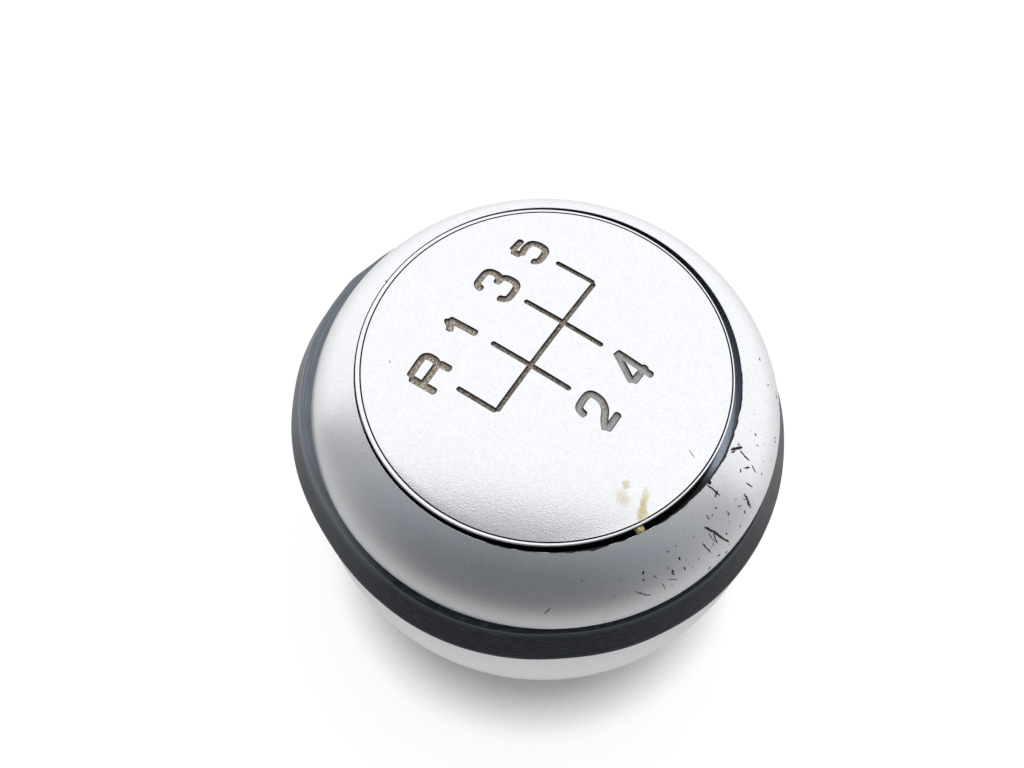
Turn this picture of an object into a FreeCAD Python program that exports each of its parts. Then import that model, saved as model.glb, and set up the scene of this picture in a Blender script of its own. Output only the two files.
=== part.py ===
import FreeCAD, Part
import math
import os
from types import SimpleNamespace

import Sketcher

# A ball-shaped gear shift knob: a domed cap with the engraved shift pattern sits in an upper shell, a
# rubber grip band is clamped between that and a ball-shaped lower shell, and a core with a metal sleeve
# takes the lever. The base of the foot ring is at Z = 0 and the lever's axis is Z. +Y is the driving
# direction (to 1, 3 and 5).

# Driving dimensions in millimetres: alias, value, meaning
SIZES = (
    ("ball_radius", 26.65, "outer radius of the lower shell's ball"),
    ("neck_radius", 13.0, "floor of the groove for the boot's collar"),
    ("neck_height", 6.75, "where the ball would meet the neck above the base"),
    ("neck_round", 1.5, "rounding between the neck and the ball"),
    ("foot_height", 2.6, "foot ring below the boot groove"),
    ("foot_step", 1.5, "how far the foot ring stands out of the groove"),
    ("foot_bevel", 0.5, "bevel at the foot ring's base"),
    ("shell_wall", 2.4, "wall of the ball"),
    ("rim_wall", 2.35, "wall at the lower shell's top rim"),
    ("band_rise", 8.35, "underside of the grip band above the ball's centre"),
    ("band_height", 4.5, "height of the grip band"),
    ("band_overhang", 1.7, "widest edge of the band beyond the lower shell's rim"),
    ("band_edge_round", 0.4, "rounding of the band's widest edge"),
    ("band_ledge", 0.9, "ledge on the band beyond the upper shell"),
    ("band_ledge_drop", 0.45, "fall of that ledge below the band's top"),
    ("band_ledge_round", 0.35, "rounding of the ledge's outer corner"),
    ("band_tuck", 0.5, "how far the sloping ledge runs in under the upper shell"),
    ("band_fit", 0.05, "gap between the band and the spigot inside it"),
    ("shoulder_setback", 0.25, "upper shell's foot inside the lower shell's rim"),
    ("shoulder_run", 5.43, "radial run of the shoulder from its lip to its foot"),
    ("shoulder_height", 7.15, "height of the shoulder above the band"),
    ("shoulder_curve", 11.2, "radius of the shoulder's section"),
    ("lip_round", 0.1, "rounding of the lip round the cap"),
    ("recess_depth", 3.1, "depth of the cap's recess below the lip"),
    ("floor_thickness", 2.0, "floor of the cap's recess"),
    ("spigot_entry", 2.2, "how far the upper shell's spigot enters the lower shell"),
    ("spigot_wall", 1.8, "wall of the spigot"),
    ("spigot_fit", 0.05, "gap between the spigot and the lower shell"),
    ("spigot_bevel", 0.4, "lead-in bevel of the spigot"),
    ("cap_gap", 0.46, "gap between the cap and the lip when centred"),
    ("cap_proud", 0.5, "cap's edge above the lip"),
    ("cap_dome", 1.8, "rise of the cap's dome"),
    ("cap_wall", 1.6, "wall of the cap's top"),
    ("cap_skirt", 1.7, "wall of the cap's skirt"),
    ("cap_edge_round", 0.12, "rounding of the cap's edge"),
    ("cap_line_inset", 0.29, "rim bead outside the line round the cap's edge"),
    ("cap_line_width", 0.16, "width of that line"),
    ("cap_line_depth", 0.2, "depth of that line"),
    ("cap_shift_x", -0.25, "cap glued off-centre, along X"),
    ("cap_shift_y", 0.21, "cap glued off-centre, along Y"),
    ("gate_pitch", 6.0, "distance between the lanes of the shift pattern"),
    ("gate_centre_x", 1.3, "middle of the pattern from the cap's centre, along X"),
    ("gate_centre_y", 0.7, "cross lane of the pattern from the cap's centre, along Y"),
    ("gate_reach", 4.75, "length of a lane from the cross lane"),
    ("gate_width", 0.55, "width of the engraved lanes"),
    ("gate_depth", 0.35, "depth of the engraved lanes"),
    ("glue_thickness", 0.4, "adhesive between the recess floor and the cap"),
    ("glue_inset", 0.45, "adhesive's edges inside those of the cap's skirt"),
    ("peg_radius", 1.0, "locating pegs under the cap"),
    ("peg_clearance", 0.5, "gap round a peg"),
    ("peg_reach", 1.4, "how far a peg enters the recess floor"),
    ("lever_radius", 5.0, "bore for the lever"),
    ("sleeve_wall", 1.5, "wall of the lever sleeve"),
    ("sleeve_length", 30.0, "length of the lever sleeve"),
    ("sleeve_fit", 0.02, "gap between the sleeve and the core"),
    ("sleeve_bevel", 0.5, "bevels at the ends of the sleeve"),
    ("collar_step", 0.9, "sleeve's collar beyond the sleeve"),
    ("collar_thickness", 1.0, "thickness of the sleeve's collar"),
    ("hub_wall", 1.9, "wall of the core's hub round the sleeve"),
    ("hub_fit", 0.1, "gap between the hub and the shells"),
    ("hub_recess", 0.6, "hub's lower end above the base"),
    ("hub_top_gap", 0.5, "hub's upper end below the recess floor's top"),
    ("hub_bevel", 0.6, "bevel at the hub's upper end"),
    ("hub_web", 3.0, "web in the hub above the sleeve"),
    ("hub_pocket_wall", 2.4, "hub wall round the pocket above the web"),
    ("flange_rise", 0.6, "core's flange above the ball's centre"),
    ("flange_thickness", 3.0, "thickness of the core's flange"),
    ("flange_ring", 3.0, "flange ring beyond the hub"),
    ("fin_reach", 5.0, "stiffening fins beyond the hub"),
    ("fin_height", 16.0, "height of a fin below the flange"),
    ("fin_thickness", 2.0, "thickness of a fin"),
    ("head_radius", 2.5, "head of an assembly screw"),
    ("head_height", 1.8, "height of that head"),
    ("head_side", 0.8, "straight side of that head"),
    ("screw_radius", 1.1, "root of an assembly screw's thread"),
    ("screw_length", 15.0, "assembly screw below its head"),
    ("thread_fit", 0.05, "gap between the thread's root and the post"),
    ("screw_clearance", 0.5, "gap round the screw in the flange and the seat"),
    ("pilot_spare", 1.0, "pilot hole beyond the screw's tip"),
    ("head_clearance", 0.3, "gap round the head in its well"),
    ("well_wall", 1.1, "wall of a screw well"),
    ("well_gap", 0.4, "gap between the hub and the screw wells"),
    ("seat_thickness", 2.0, "seat under the head in a well"),
    ("post_wall", 2.0, "wall of a screw post round its pilot hole"),
    ("gusset_thickness", 1.6, "gussets between the screw wells and the spigot"),
)
SCREW_COUNT = 3
FULL_TURN = 360.0


class Length:
    """A length that knows its value and the spreadsheet expression that gives it."""

    def __init__(self, value, text):
        self.value = float(value)
        self.text = text

    def _join(self, other, sign, value):
        return Length(value, f"({self.text} {sign} {as_length(other).text})")

    def __add__(self, other):
        return self._join(other, "+", self.value + as_length(other).value)

    def __sub__(self, other):
        return self._join(other, "-", self.value - as_length(other).value)

    def __mul__(self, other):
        return self._join(other, "*", self.value * as_length(other).value)

    def __truediv__(self, other):
        return self._join(other, "/", self.value / as_length(other).value)

    def __neg__(self):
        return Length(-self.value, f"(0 - {self.text})")


def as_length(size):
    return size if isinstance(size, Length) else Length(size, repr(size))


def leg(hypotenuse, other_leg):
    """The other short side of a right triangle, such as a ball's radius at a height."""
    square = hypotenuse * hypotenuse - other_leg * other_leg
    return Length(math.sqrt(square.value), f"sqrt({square.text})")


def dome_radius_of(half_chord, rise):
    """Radius of the arc that rises by that much over half its chord."""
    return (half_chord * half_chord + rise * rise) / (rise * 2)


def convex(radius):
    return radius, True


def hollow(radius):
    return radius, False


def fill_sheet(doc):
    """Write the driving dimensions to the spreadsheet and give them back as lengths."""
    sheet = doc.addObject("Spreadsheet::Sheet", "Sizes")
    for row, (alias, value, meaning) in enumerate(SIZES, start=1):
        sheet.set(f"A{row}", str(value))
        sheet.setAlias(f"A{row}", alias)
        sheet.set(f"B{row}", meaning)
    doc.recompute()
    return SimpleNamespace(**{alias: Length(sheet.get(alias), f"Sizes.{alias}") for alias, _, _ in SIZES})


def derive(size):
    """Radii and levels that follow from the driving dimensions."""
    d = SimpleNamespace()
    # Levels of the shells, from the base up
    d.ball_z = size.neck_height + leg(size.ball_radius, size.neck_radius)
    d.band_z = d.ball_z + size.band_rise
    d.band_top_z = d.band_z + size.band_height
    d.lip_z = d.band_top_z + size.shoulder_height
    d.floor_z = d.lip_z - size.recess_depth
    d.under_floor_z = d.floor_z - size.floor_thickness
    d.spigot_z = d.band_z - size.spigot_entry
    # Radii of the shells, from the ball in
    d.rim_radius = leg(size.ball_radius, size.band_rise)
    d.mouth_radius = d.rim_radius - size.rim_wall
    d.spigot_radius = d.mouth_radius - size.spigot_fit
    d.spigot_inside = d.spigot_radius - size.spigot_wall
    d.cavity_radius = size.ball_radius - size.shell_wall
    d.shoulder_radius = d.rim_radius - size.shoulder_setback
    d.lip_radius = d.shoulder_radius - size.shoulder_run
    # Cap
    d.cap_radius = d.lip_radius - size.cap_gap
    d.cap_rim_z = d.lip_z + size.cap_proud
    d.cap_foot_z = d.floor_z + size.glue_thickness
    d.skirt_inside = d.cap_radius - size.cap_skirt
    d.dome_radius = d.cap_radius - size.cap_line_inset - size.cap_line_width
    # Core and sleeve
    d.sleeve_radius = size.lever_radius + size.sleeve_wall
    d.collar_radius = d.sleeve_radius + size.collar_step
    d.sleeve_top_z = size.hub_recess + size.sleeve_length
    d.hub_bore = d.sleeve_radius + size.sleeve_fit
    d.hub_radius = d.hub_bore + size.hub_wall
    d.hub_top_z = d.floor_z - size.hub_top_gap
    d.hub_hole = d.hub_radius + size.hub_fit
    # Screws, their wells in the upper shell and their posts in the lower shell
    d.flange_z = d.ball_z + size.flange_rise
    d.flange_top_z = d.flange_z + size.flange_thickness
    d.seat_z = d.flange_top_z + size.seat_thickness
    d.well_inside = size.head_radius + size.head_clearance
    d.well_radius = d.well_inside + size.well_wall
    d.screw_circle = d.hub_radius + size.well_gap + d.well_radius
    d.screw_hole = size.screw_radius + size.screw_clearance
    d.screw_tip_z = d.seat_z - size.screw_length
    d.pilot_radius = size.screw_radius + size.thread_fit
    d.post_radius = d.pilot_radius + size.post_wall
    return d


def origin_feature(body, role):
    return next(feature for feature in body.Origin.OriginFeatures if feature.Role == role)


def new_sketch(body, name, plane, height=None):
    """A sketch on one of the body's own origin planes, raised to a height where one is given."""
    sketch = body.newObject("Sketcher::SketchObject", name)
    sketch.AttachmentSupport = [(origin_feature(body, plane), "")]
    sketch.MapMode = "FlatFace"
    if height is not None:
        sketch.setExpression("AttachmentOffset.Base.z", height.text)
    return sketch


def place_point(sketch, edge, end, x, y, name):
    """Tie a point of the sketch to its two coordinates, or to an axis where one of them is nothing."""
    for constraint, axis, size, label in (("DistanceX", -2, x, "x"), ("DistanceY", -1, y, "y")):
        if as_length(size).value == 0:
            sketch.addConstraint(Sketcher.Constraint("PointOnObject", edge, end, axis))
            continue
        index = sketch.addConstraint(Sketcher.Constraint(constraint, -1, 1, edge, end, size.value))
        sketch.renameConstraint(index, f"{label}_{name}")
        sketch.setExpression(f"Constraints.{label}_{name}", size.text)


def set_radius(sketch, edge, radius, name):
    index = sketch.addConstraint(Sketcher.Constraint("Radius", edge, radius.value))
    sketch.renameConstraint(index, f"radius_{name}")
    sketch.setExpression(f"Constraints.radius_{name}", radius.text)


def arc_middle(start, end, radius, is_convex):
    """Middle point of the arc from start to end; a convex one bulges to the right of that direction."""
    chord = end - start
    half = chord.Length / 2
    bulge = radius - math.sqrt(radius * radius - half * half)
    side = FreeCAD.Vector(chord.y, -chord.x, 0).normalize()
    return (start + end) * 0.5 + side * (bulge if is_convex else -bulge)


def outline(sketch, corners):
    """Closed outline, counter-clockwise; a corner's third entry is the arc on to the next corner."""
    points = [FreeCAD.Vector(as_length(corner[0]).value, as_length(corner[1]).value, 0) for corner in corners]
    ends = []
    for index, corner in enumerate(corners):
        start, end = points[index], points[(index + 1) % len(points)]
        if len(corner) == 2:
            edge = sketch.addGeometry(Part.LineSegment(start, end))
            ends.append((edge, 1, 2))
            continue
        radius, is_convex = corner[2]
        edge = sketch.addGeometry(Part.Arc(start, arc_middle(start, end, radius.value, is_convex), end))
        ends.append((edge, 1, 2) if is_convex else (edge, 2, 1))
    for index, (edge, first, _) in enumerate(ends):
        previous_edge, _, last = ends[index - 1]
        sketch.addConstraint(Sketcher.Constraint("Coincident", previous_edge, last, edge, first))
    for index, corner in enumerate(corners):
        edge, first, _ = ends[index]
        place_point(sketch, edge, first, corner[0], corner[1], index)
        if len(corner) == 3:
            set_radius(sketch, edge, corner[2][0], index)


def circle(sketch, x, y, radius):
    centre = FreeCAD.Vector(as_length(x).value, as_length(y).value, 0)
    edge = sketch.addGeometry(Part.Circle(centre, FreeCAD.Vector(0, 0, 1), radius.value))
    place_point(sketch, edge, 3, x, y, edge)
    set_radius(sketch, edge, radius, edge)


def revolved(body, name, corners):
    """Turn an outline of radii and heights about the body's axis."""
    sketch = new_sketch(body, f"{name}_section", "XZ_Plane")
    outline(sketch, corners)
    feature = body.newObject("PartDesign::Revolution", name)
    feature.Profile = sketch
    feature.ReferenceAxis = (sketch, ["V_Axis"])
    feature.Angle = FULL_TURN
    return feature


def raised(body, name, sketch, height=None):
    """Pad a sketch up by a height, or down on to the first face below it where none is given."""
    feature = body.newObject("PartDesign::Pad", name)
    feature.Profile = sketch
    if height is None:
        feature.Type = "UpToFirst"
        feature.Reversed = True
    else:
        feature.setExpression("Length", height.text)
    return feature


def sunk(body, name, sketch, depth):
    """Cut a sketch down by a depth."""
    feature = body.newObject("PartDesign::Pocket", name)
    feature.Profile = sketch
    feature.setExpression("Length", depth.text)
    return feature


def round_feature(body, name, make, x, radius, height, *reach):
    """A round boss or hole on the X axis, at a height, made by raised or sunk."""
    sketch = new_sketch(body, f"{name}_sketch", "XY_Plane", height)
    circle(sketch, x, 0, radius)
    return make(body, name, sketch, *reach)


def repeated(body, name, feature):
    """Repeat a feature round the axis, once for each screw."""
    pattern = body.newObject("PartDesign::PolarPattern", name)
    pattern.Originals = [feature]
    pattern.Axis = (origin_feature(body, "Z_Axis"), [""])
    pattern.Angle = FULL_TURN
    pattern.Occurrences = SCREW_COUNT
    body.Tip = pattern
    return pattern


def new_body(doc, label):
    body = doc.addObject("PartDesign::Body", label)
    body.Label = label
    return body


def make_lower_shell(doc, size, d):
    """Ball-shaped shell with a foot ring, a groove for the boot's collar and posts for the screws."""
    body = new_body(doc, "lower_shell")
    foot_radius = size.neck_radius + size.foot_step
    # The rounding's centre lies outside the neck; both tangent points follow from it
    rounding_radius = size.neck_radius + size.neck_round
    rounding_drop = leg(size.ball_radius + size.neck_round, rounding_radius)
    ball_share = size.ball_radius / (size.ball_radius + size.neck_round)
    revolved(body, "bowl", (
        (d.hub_hole, 0),
        (foot_radius - size.foot_bevel, 0),
        (foot_radius, size.foot_bevel),
        (foot_radius, size.foot_height),
        (size.neck_radius, size.foot_height),
        (size.neck_radius, d.ball_z - rounding_drop, hollow(size.neck_round)),
        (rounding_radius * ball_share, d.ball_z - rounding_drop * ball_share, convex(size.ball_radius)),
        (d.rim_radius, d.band_z),
        (d.mouth_radius, d.band_z),
        (d.mouth_radius, d.ball_z - leg(d.cavity_radius, d.mouth_radius), hollow(d.cavity_radius)),
        (d.hub_hole, d.ball_z - leg(d.cavity_radius, d.hub_hole)),
    ))
    doc.recompute()
    post = round_feature(body, "screw_post", raised, d.screw_circle, d.post_radius, d.flange_z)
    repeated(body, "screw_posts", post)
    pilot_depth = d.flange_z - d.screw_tip_z + size.pilot_spare
    pilot = round_feature(body, "pilot_hole", sunk, d.screw_circle, d.pilot_radius, d.flange_z, pilot_depth)
    repeated(body, "pilot_holes", pilot)
    return body


def make_grip_band(doc, size, d):
    """Rubber ring with a sloping ledge on top and a flared lower edge."""
    body = new_body(doc, "grip_band")
    edge_radius = d.rim_radius + size.band_overhang
    ledge_radius = d.shoulder_radius + size.band_ledge
    ledge_z = d.band_top_z - size.band_ledge_drop
    inside = d.spigot_radius + size.band_fit
    revolved(body, "band", (
        (inside, d.band_z),
        (edge_radius - size.band_edge_round, d.band_z, convex(size.band_edge_round)),
        (edge_radius, d.band_z + size.band_edge_round),
        (ledge_radius, ledge_z - size.band_ledge_round, convex(size.band_ledge_round)),
        (ledge_radius - size.band_ledge_round, ledge_z),
        (d.shoulder_radius - size.band_tuck, d.band_top_z),
        (inside, d.band_top_z),
    ))
    return body


def make_upper_shell(doc, size, d):
    """Shoulder with the cap's recess, a spigot that enters the lower shell, and wells for the screws."""
    body = new_body(doc, "upper_shell")
    revolved(body, "shoulder", (
        (d.hub_hole, d.under_floor_z),
        (d.spigot_inside, d.under_floor_z),
        (d.spigot_inside, d.spigot_z),
        (d.spigot_radius - size.spigot_bevel, d.spigot_z),
        (d.spigot_radius, d.spigot_z + size.spigot_bevel),
        (d.spigot_radius, d.band_top_z),
        (d.shoulder_radius, d.band_top_z, convex(size.shoulder_curve)),
        (d.lip_radius + size.lip_round, d.lip_z, convex(size.lip_round)),
        (d.lip_radius, d.lip_z - size.lip_round),
        (d.lip_radius, d.floor_z),
        (d.hub_hole, d.floor_z),
    ))
    well_height = d.floor_z - d.flange_top_z
    well = round_feature(body, "well", raised, d.screw_circle, d.well_radius, d.flange_top_z, well_height)
    repeated(body, "wells", well)

    gusset_sketch = new_sketch(body, "gusset_sketch", "XY_Plane", d.spigot_z)
    half = size.gusset_thickness / 2
    outline(gusset_sketch, (
        (d.screw_circle + d.well_inside + size.well_wall / 2, -half),
        (d.spigot_inside + size.spigot_wall / 2, -half),
        (d.spigot_inside + size.spigot_wall / 2, half),
        (d.screw_circle + d.well_inside + size.well_wall / 2, half),
    ))
    gusset = raised(body, "gusset", gusset_sketch, d.floor_z - d.spigot_z - size.floor_thickness / 2)
    repeated(body, "gussets", gusset)

    well_depth = d.floor_z - d.seat_z
    bore = round_feature(body, "well_bore", sunk, d.screw_circle, d.well_inside, d.floor_z, well_depth)
    repeated(body, "well_bores", bore)
    hole = round_feature(body, "screw_hole", sunk, d.screw_circle, d.screw_hole, d.floor_z, well_height)
    repeated(body, "screw_holes", hole)
    peg_hole_radius = size.peg_radius + size.peg_clearance
    peg_hole = round_feature(
        body, "peg_hole", sunk, -d.screw_circle, peg_hole_radius, d.floor_z, size.floor_thickness)
    repeated(body, "peg_holes", peg_hole)
    return body


def make_cap_adhesive(doc, size, d):
    """Ring of adhesive on the recess floor, under the cap's skirt."""
    disc = doc.addObject("Part::Cylinder", "adhesive_disc")
    disc.setExpression("Radius", (d.cap_radius - size.glue_inset).text)
    opening = doc.addObject("Part::Cylinder", "adhesive_opening")
    opening.setExpression("Radius", (d.skirt_inside + size.glue_inset).text)
    for cylinder in (disc, opening):
        cylinder.setExpression("Height", size.glue_thickness.text)
        cylinder.setExpression("Placement.Base.z", d.floor_z.text)
    ring = doc.addObject("Part::Cut", "cap_adhesive")
    ring.Label = "cap_adhesive"
    ring.Base = disc
    ring.Tool = opening
    return ring


def make_cap_blank(doc, size, d):
    """Domed cap with a rim bead, a line inside it, a skirt and three locating pegs, before engraving."""
    body = new_body(doc, "cap_blank")
    line_outside = d.cap_radius - size.cap_line_inset
    under_z = d.cap_rim_z - size.cap_wall
    revolved(body, "cap", (
        (d.skirt_inside, d.cap_foot_z),
        (d.cap_radius, d.cap_foot_z),
        (d.cap_radius, d.cap_rim_z - size.cap_edge_round, convex(size.cap_edge_round)),
        (d.cap_radius - size.cap_edge_round, d.cap_rim_z),
        (line_outside, d.cap_rim_z),
        (line_outside - size.cap_line_width / 2, d.cap_rim_z - size.cap_line_depth),
        (d.dome_radius, d.cap_rim_z, convex(dome_radius_of(d.dome_radius, size.cap_dome))),
        (0, d.cap_rim_z + size.cap_dome),
        (0, under_z + size.cap_dome, hollow(dome_radius_of(d.skirt_inside, size.cap_dome))),
        (d.skirt_inside, under_z),
    ))
    peg_z = d.floor_z - size.peg_reach
    peg = round_feature(body, "peg", raised, -d.screw_circle, size.peg_radius, peg_z, d.cap_rim_z - peg_z)
    repeated(body, "pegs", peg)
    return body


def gate_lanes(size):
    """The lanes of the shift pattern as start and end points; the outer lanes only run up."""
    lane_x = [size.gate_centre_x + size.gate_pitch * step for step in (-1.5, -0.5, 0.5, 1.5)]
    cross_y = size.gate_centre_y
    top_y = cross_y + size.gate_reach
    bottom_y = cross_y - size.gate_reach
    upright = [(lane_x[0], cross_y), (lane_x[1], bottom_y), (lane_x[2], bottom_y), (lane_x[3], cross_y)]
    lanes = [(start, (start[0], top_y)) for start in upright]
    return lanes + [((lane_x[0], cross_y), (lane_x[3], cross_y))]


def lane_outline(start, end, half):
    """Outline of one lane with rounded ends, made of quarter arcs."""
    (x0, y0), (x1, y1) = start, end
    turn = convex(half)
    if x0 is x1:
        return (
            (x0 + half, y0), (x0 + half, y1, turn), (x0, y1 + half, turn),
            (x0 - half, y1), (x0 - half, y0, turn), (x0, y0 - half, turn),
        )
    return (
        (x0, y0 - half), (x1, y0 - half, turn), (x1 + half, y0, turn),
        (x1, y0 + half), (x0, y0 + half, turn), (x0 - half, y0, turn),
    )


def make_gate_engraving(doc, size, d):
    """What the engraving takes out of the cap: the lanes' prisms inside a layer that follows the dome."""
    dome_top_z = d.cap_rim_z + size.cap_dome
    dome_arc = dome_radius_of(d.dome_radius, size.cap_dome)
    layer = new_body(doc, "gate_layer")
    revolved(layer, "engraved_layer", (
        (d.dome_radius, d.cap_rim_z - size.gate_depth),
        (d.dome_radius, dome_top_z + size.gate_depth),
        (0, dome_top_z + size.gate_depth),
        (0, dome_top_z - size.gate_depth, hollow(dome_arc)),
    ))
    prisms = new_body(doc, "gate_prisms")
    for number, (start, end) in enumerate(gate_lanes(size)):
        sketch = new_sketch(prisms, f"lane_sketch_{number}", "XY_Plane", d.cap_rim_z - size.gate_depth)
        outline(sketch, lane_outline(start, end, size.gate_width / 2))
        raised(prisms, f"lane_{number}", sketch, size.cap_dome + size.gate_depth * 2)
    engraving = doc.addObject("Part::Common", "gate_engraving")
    engraving.Base = layer
    engraving.Tool = prisms
    return engraving


def make_pattern_cap(doc, size, d):
    """The cap with its engraved shift pattern, where it was glued back."""
    cap = doc.addObject("Part::Cut", "pattern_cap")
    cap.Label = "pattern_cap"
    cap.Base = make_cap_blank(doc, size, d)
    cap.Tool = make_gate_engraving(doc, size, d)
    cap.setExpression("Placement.Base.x", size.cap_shift_x.text)
    cap.setExpression("Placement.Base.y", size.cap_shift_y.text)
    return cap


def make_core(doc, size, d):
    """Moulded hub round the lever sleeve, with a flange on three arms that the screws go through."""
    body = new_body(doc, "core")
    collar_seat = d.collar_radius + size.sleeve_fit
    collar_z = size.hub_recess + size.collar_thickness
    bore_top_z = d.sleeve_top_z + size.sleeve_fit
    pocket_radius = d.hub_radius - size.hub_pocket_wall
    revolved(body, "hub", (
        (collar_seat, size.hub_recess),
        (d.hub_radius, size.hub_recess),
        (d.hub_radius, d.hub_top_z - size.hub_bevel),
        (d.hub_radius - size.hub_bevel, d.hub_top_z),
        (pocket_radius, d.hub_top_z),
        (pocket_radius, bore_top_z + size.hub_web),
        (0, bore_top_z + size.hub_web),
        (0, bore_top_z),
        (d.hub_bore, bore_top_z),
        (d.hub_bore, collar_z),
        (collar_seat, collar_z),
    ))
    hub_middle = (d.hub_radius + d.hub_bore) / 2
    ring_sketch = new_sketch(body, "flange_ring_sketch", "XY_Plane", d.flange_z)
    circle(ring_sketch, 0, 0, d.hub_radius + size.flange_ring)
    circle(ring_sketch, 0, 0, hub_middle)
    raised(body, "flange_ring", ring_sketch, size.flange_thickness)

    arm_sketch = new_sketch(body, "flange_arm_sketch", "XY_Plane", d.flange_z)
    turn = convex(d.well_radius)
    outline(arm_sketch, (
        (hub_middle, -d.well_radius),
        (d.screw_circle, -d.well_radius, turn),
        (d.screw_circle + d.well_radius, 0, turn),
        (d.screw_circle, d.well_radius),
        (hub_middle, d.well_radius),
    ))
    arm = raised(body, "flange_arm", arm_sketch, size.flange_thickness)
    repeated(body, "flange_arms", arm)

    fin_sketch = new_sketch(body, "fin_sketch", "XZ_Plane")
    outline(fin_sketch, (
        (-(d.hub_radius + size.fin_reach), d.flange_z),
        (-hub_middle, d.flange_z - size.fin_height),
        (-hub_middle, d.flange_z),
    ))
    fin = raised(body, "fin", fin_sketch, size.fin_thickness)
    fin.SideType = "Symmetric"
    repeated(body, "fins", fin)

    hole = round_feature(
        body, "arm_hole", sunk, d.screw_circle, d.screw_hole, d.flange_top_z, size.flange_thickness)
    repeated(body, "arm_holes", hole)
    return body


def make_lever_sleeve(doc, size, d):
    """Turned sleeve with a collar at its mouth, pressed into the core; its bore takes the lever."""
    body = new_body(doc, "lever_sleeve")
    revolved(body, "sleeve", (
        (size.lever_radius + size.sleeve_bevel, size.hub_recess),
        (d.collar_radius, size.hub_recess),
        (d.collar_radius, size.hub_recess + size.collar_thickness),
        (d.sleeve_radius, size.hub_recess + size.collar_thickness),
        (d.sleeve_radius, d.sleeve_top_z - size.sleeve_bevel),
        (d.sleeve_radius - size.sleeve_bevel, d.sleeve_top_z),
        (size.lever_radius, d.sleeve_top_z),
        (size.lever_radius, size.hub_recess + size.sleeve_bevel),
    ))
    return body


def make_assembly_screws(doc, size, d):
    """Pan-head screws that clamp the shells and the core together, seated in their wells."""
    screws = []
    crown_radius = dome_radius_of(size.head_radius, size.head_height - size.head_side)
    for number in range(SCREW_COUNT):
        body = new_body(doc, f"assembly_screw_{number + 1}")
        revolved(body, f"screw_{number + 1}", (
            (0, d.screw_tip_z),
            (size.screw_radius, d.screw_tip_z + size.screw_radius),
            (size.screw_radius, d.seat_z),
            (size.head_radius, d.seat_z),
            (size.head_radius, d.seat_z + size.head_side, convex(crown_radius)),
            (0, d.seat_z + size.head_height),
        ))
        angle = math.radians(FULL_TURN * number / SCREW_COUNT)
        body.setExpression("Placement.Base.x", (d.screw_circle * math.cos(angle)).text)
        body.setExpression("Placement.Base.y", (d.screw_circle * math.sin(angle)).text)
        screws.append(body)
    group = doc.addObject("Part::Compound", "assembly_screws")
    group.Label = "assembly_screws"
    group.Links = screws
    return group


def check(doc, nodes):
    """Stop before anything is written if an object failed or a sub-part has no sound shape."""
    for obj in doc.Objects:
        if {"Invalid", "Error"} & set(obj.State):
            raise RuntimeError(f"{obj.Name} failed: {obj.State}")
    for node in nodes:
        if node.Shape.isNull() or not node.Shape.isValid() or node.Shape.Volume <= 0:
            raise RuntimeError(f"{node.Label} has no sound shape")


def main():
    doc = FreeCAD.newDocument("gear_shift_knob")
    size = fill_sheet(doc)
    d = derive(size)
    nodes = [
        make_lower_shell(doc, size, d),
        make_grip_band(doc, size, d),
        make_upper_shell(doc, size, d),
        make_cap_adhesive(doc, size, d),
        make_pattern_cap(doc, size, d),
        make_core(doc, size, d),
        make_lever_sleeve(doc, size, d),
        make_assembly_screws(doc, size, d),
    ]
    doc.recompute()
    check(doc, nodes)
    os.makedirs("parts", exist_ok=True)
    for node in nodes:
        node.Shape.exportStep(f"parts/{node.Label}.step")
        print(node.Label, len(node.Shape.Solids), round(node.Shape.Volume, 1), node.Shape.BoundBox)


main()
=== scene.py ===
import math

import bmesh
import bpy
from bpy.props import FloatProperty, FloatVectorProperty, IntProperty, PointerProperty
from mathutils import Matrix, Vector, noise


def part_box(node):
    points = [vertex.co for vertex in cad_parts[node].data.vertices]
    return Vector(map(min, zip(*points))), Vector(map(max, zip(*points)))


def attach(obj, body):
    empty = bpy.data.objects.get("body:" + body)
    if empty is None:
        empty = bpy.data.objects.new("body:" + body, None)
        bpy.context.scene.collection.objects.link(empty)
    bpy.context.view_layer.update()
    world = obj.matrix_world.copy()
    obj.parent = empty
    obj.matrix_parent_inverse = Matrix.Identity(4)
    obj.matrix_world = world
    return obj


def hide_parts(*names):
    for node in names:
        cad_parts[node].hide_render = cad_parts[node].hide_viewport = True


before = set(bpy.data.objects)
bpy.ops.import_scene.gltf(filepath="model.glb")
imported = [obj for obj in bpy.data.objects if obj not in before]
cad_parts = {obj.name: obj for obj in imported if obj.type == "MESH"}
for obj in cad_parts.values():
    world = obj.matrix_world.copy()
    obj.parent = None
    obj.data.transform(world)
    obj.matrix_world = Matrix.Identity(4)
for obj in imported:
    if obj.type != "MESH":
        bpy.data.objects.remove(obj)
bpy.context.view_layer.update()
CAP_LOW, CAP_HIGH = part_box("pattern_cap")

bl_info = {
    "name": "Gear shift knob",
    "version": (1, 0, 0),
    "blender": (4, 5, 0),
    "location": "View3D > Sidebar > Knob",
    "description": "Dresses the solids of a worn gear shift knob and sets the studio round it",
    "category": "Object",
}

MM = 0.001
TURN = 2 * math.pi
# Points closer than this are one point, and edges that turn more than this stay sharp.
MERGE = 0.0005 * MM
CREASE = math.radians(35)

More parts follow.
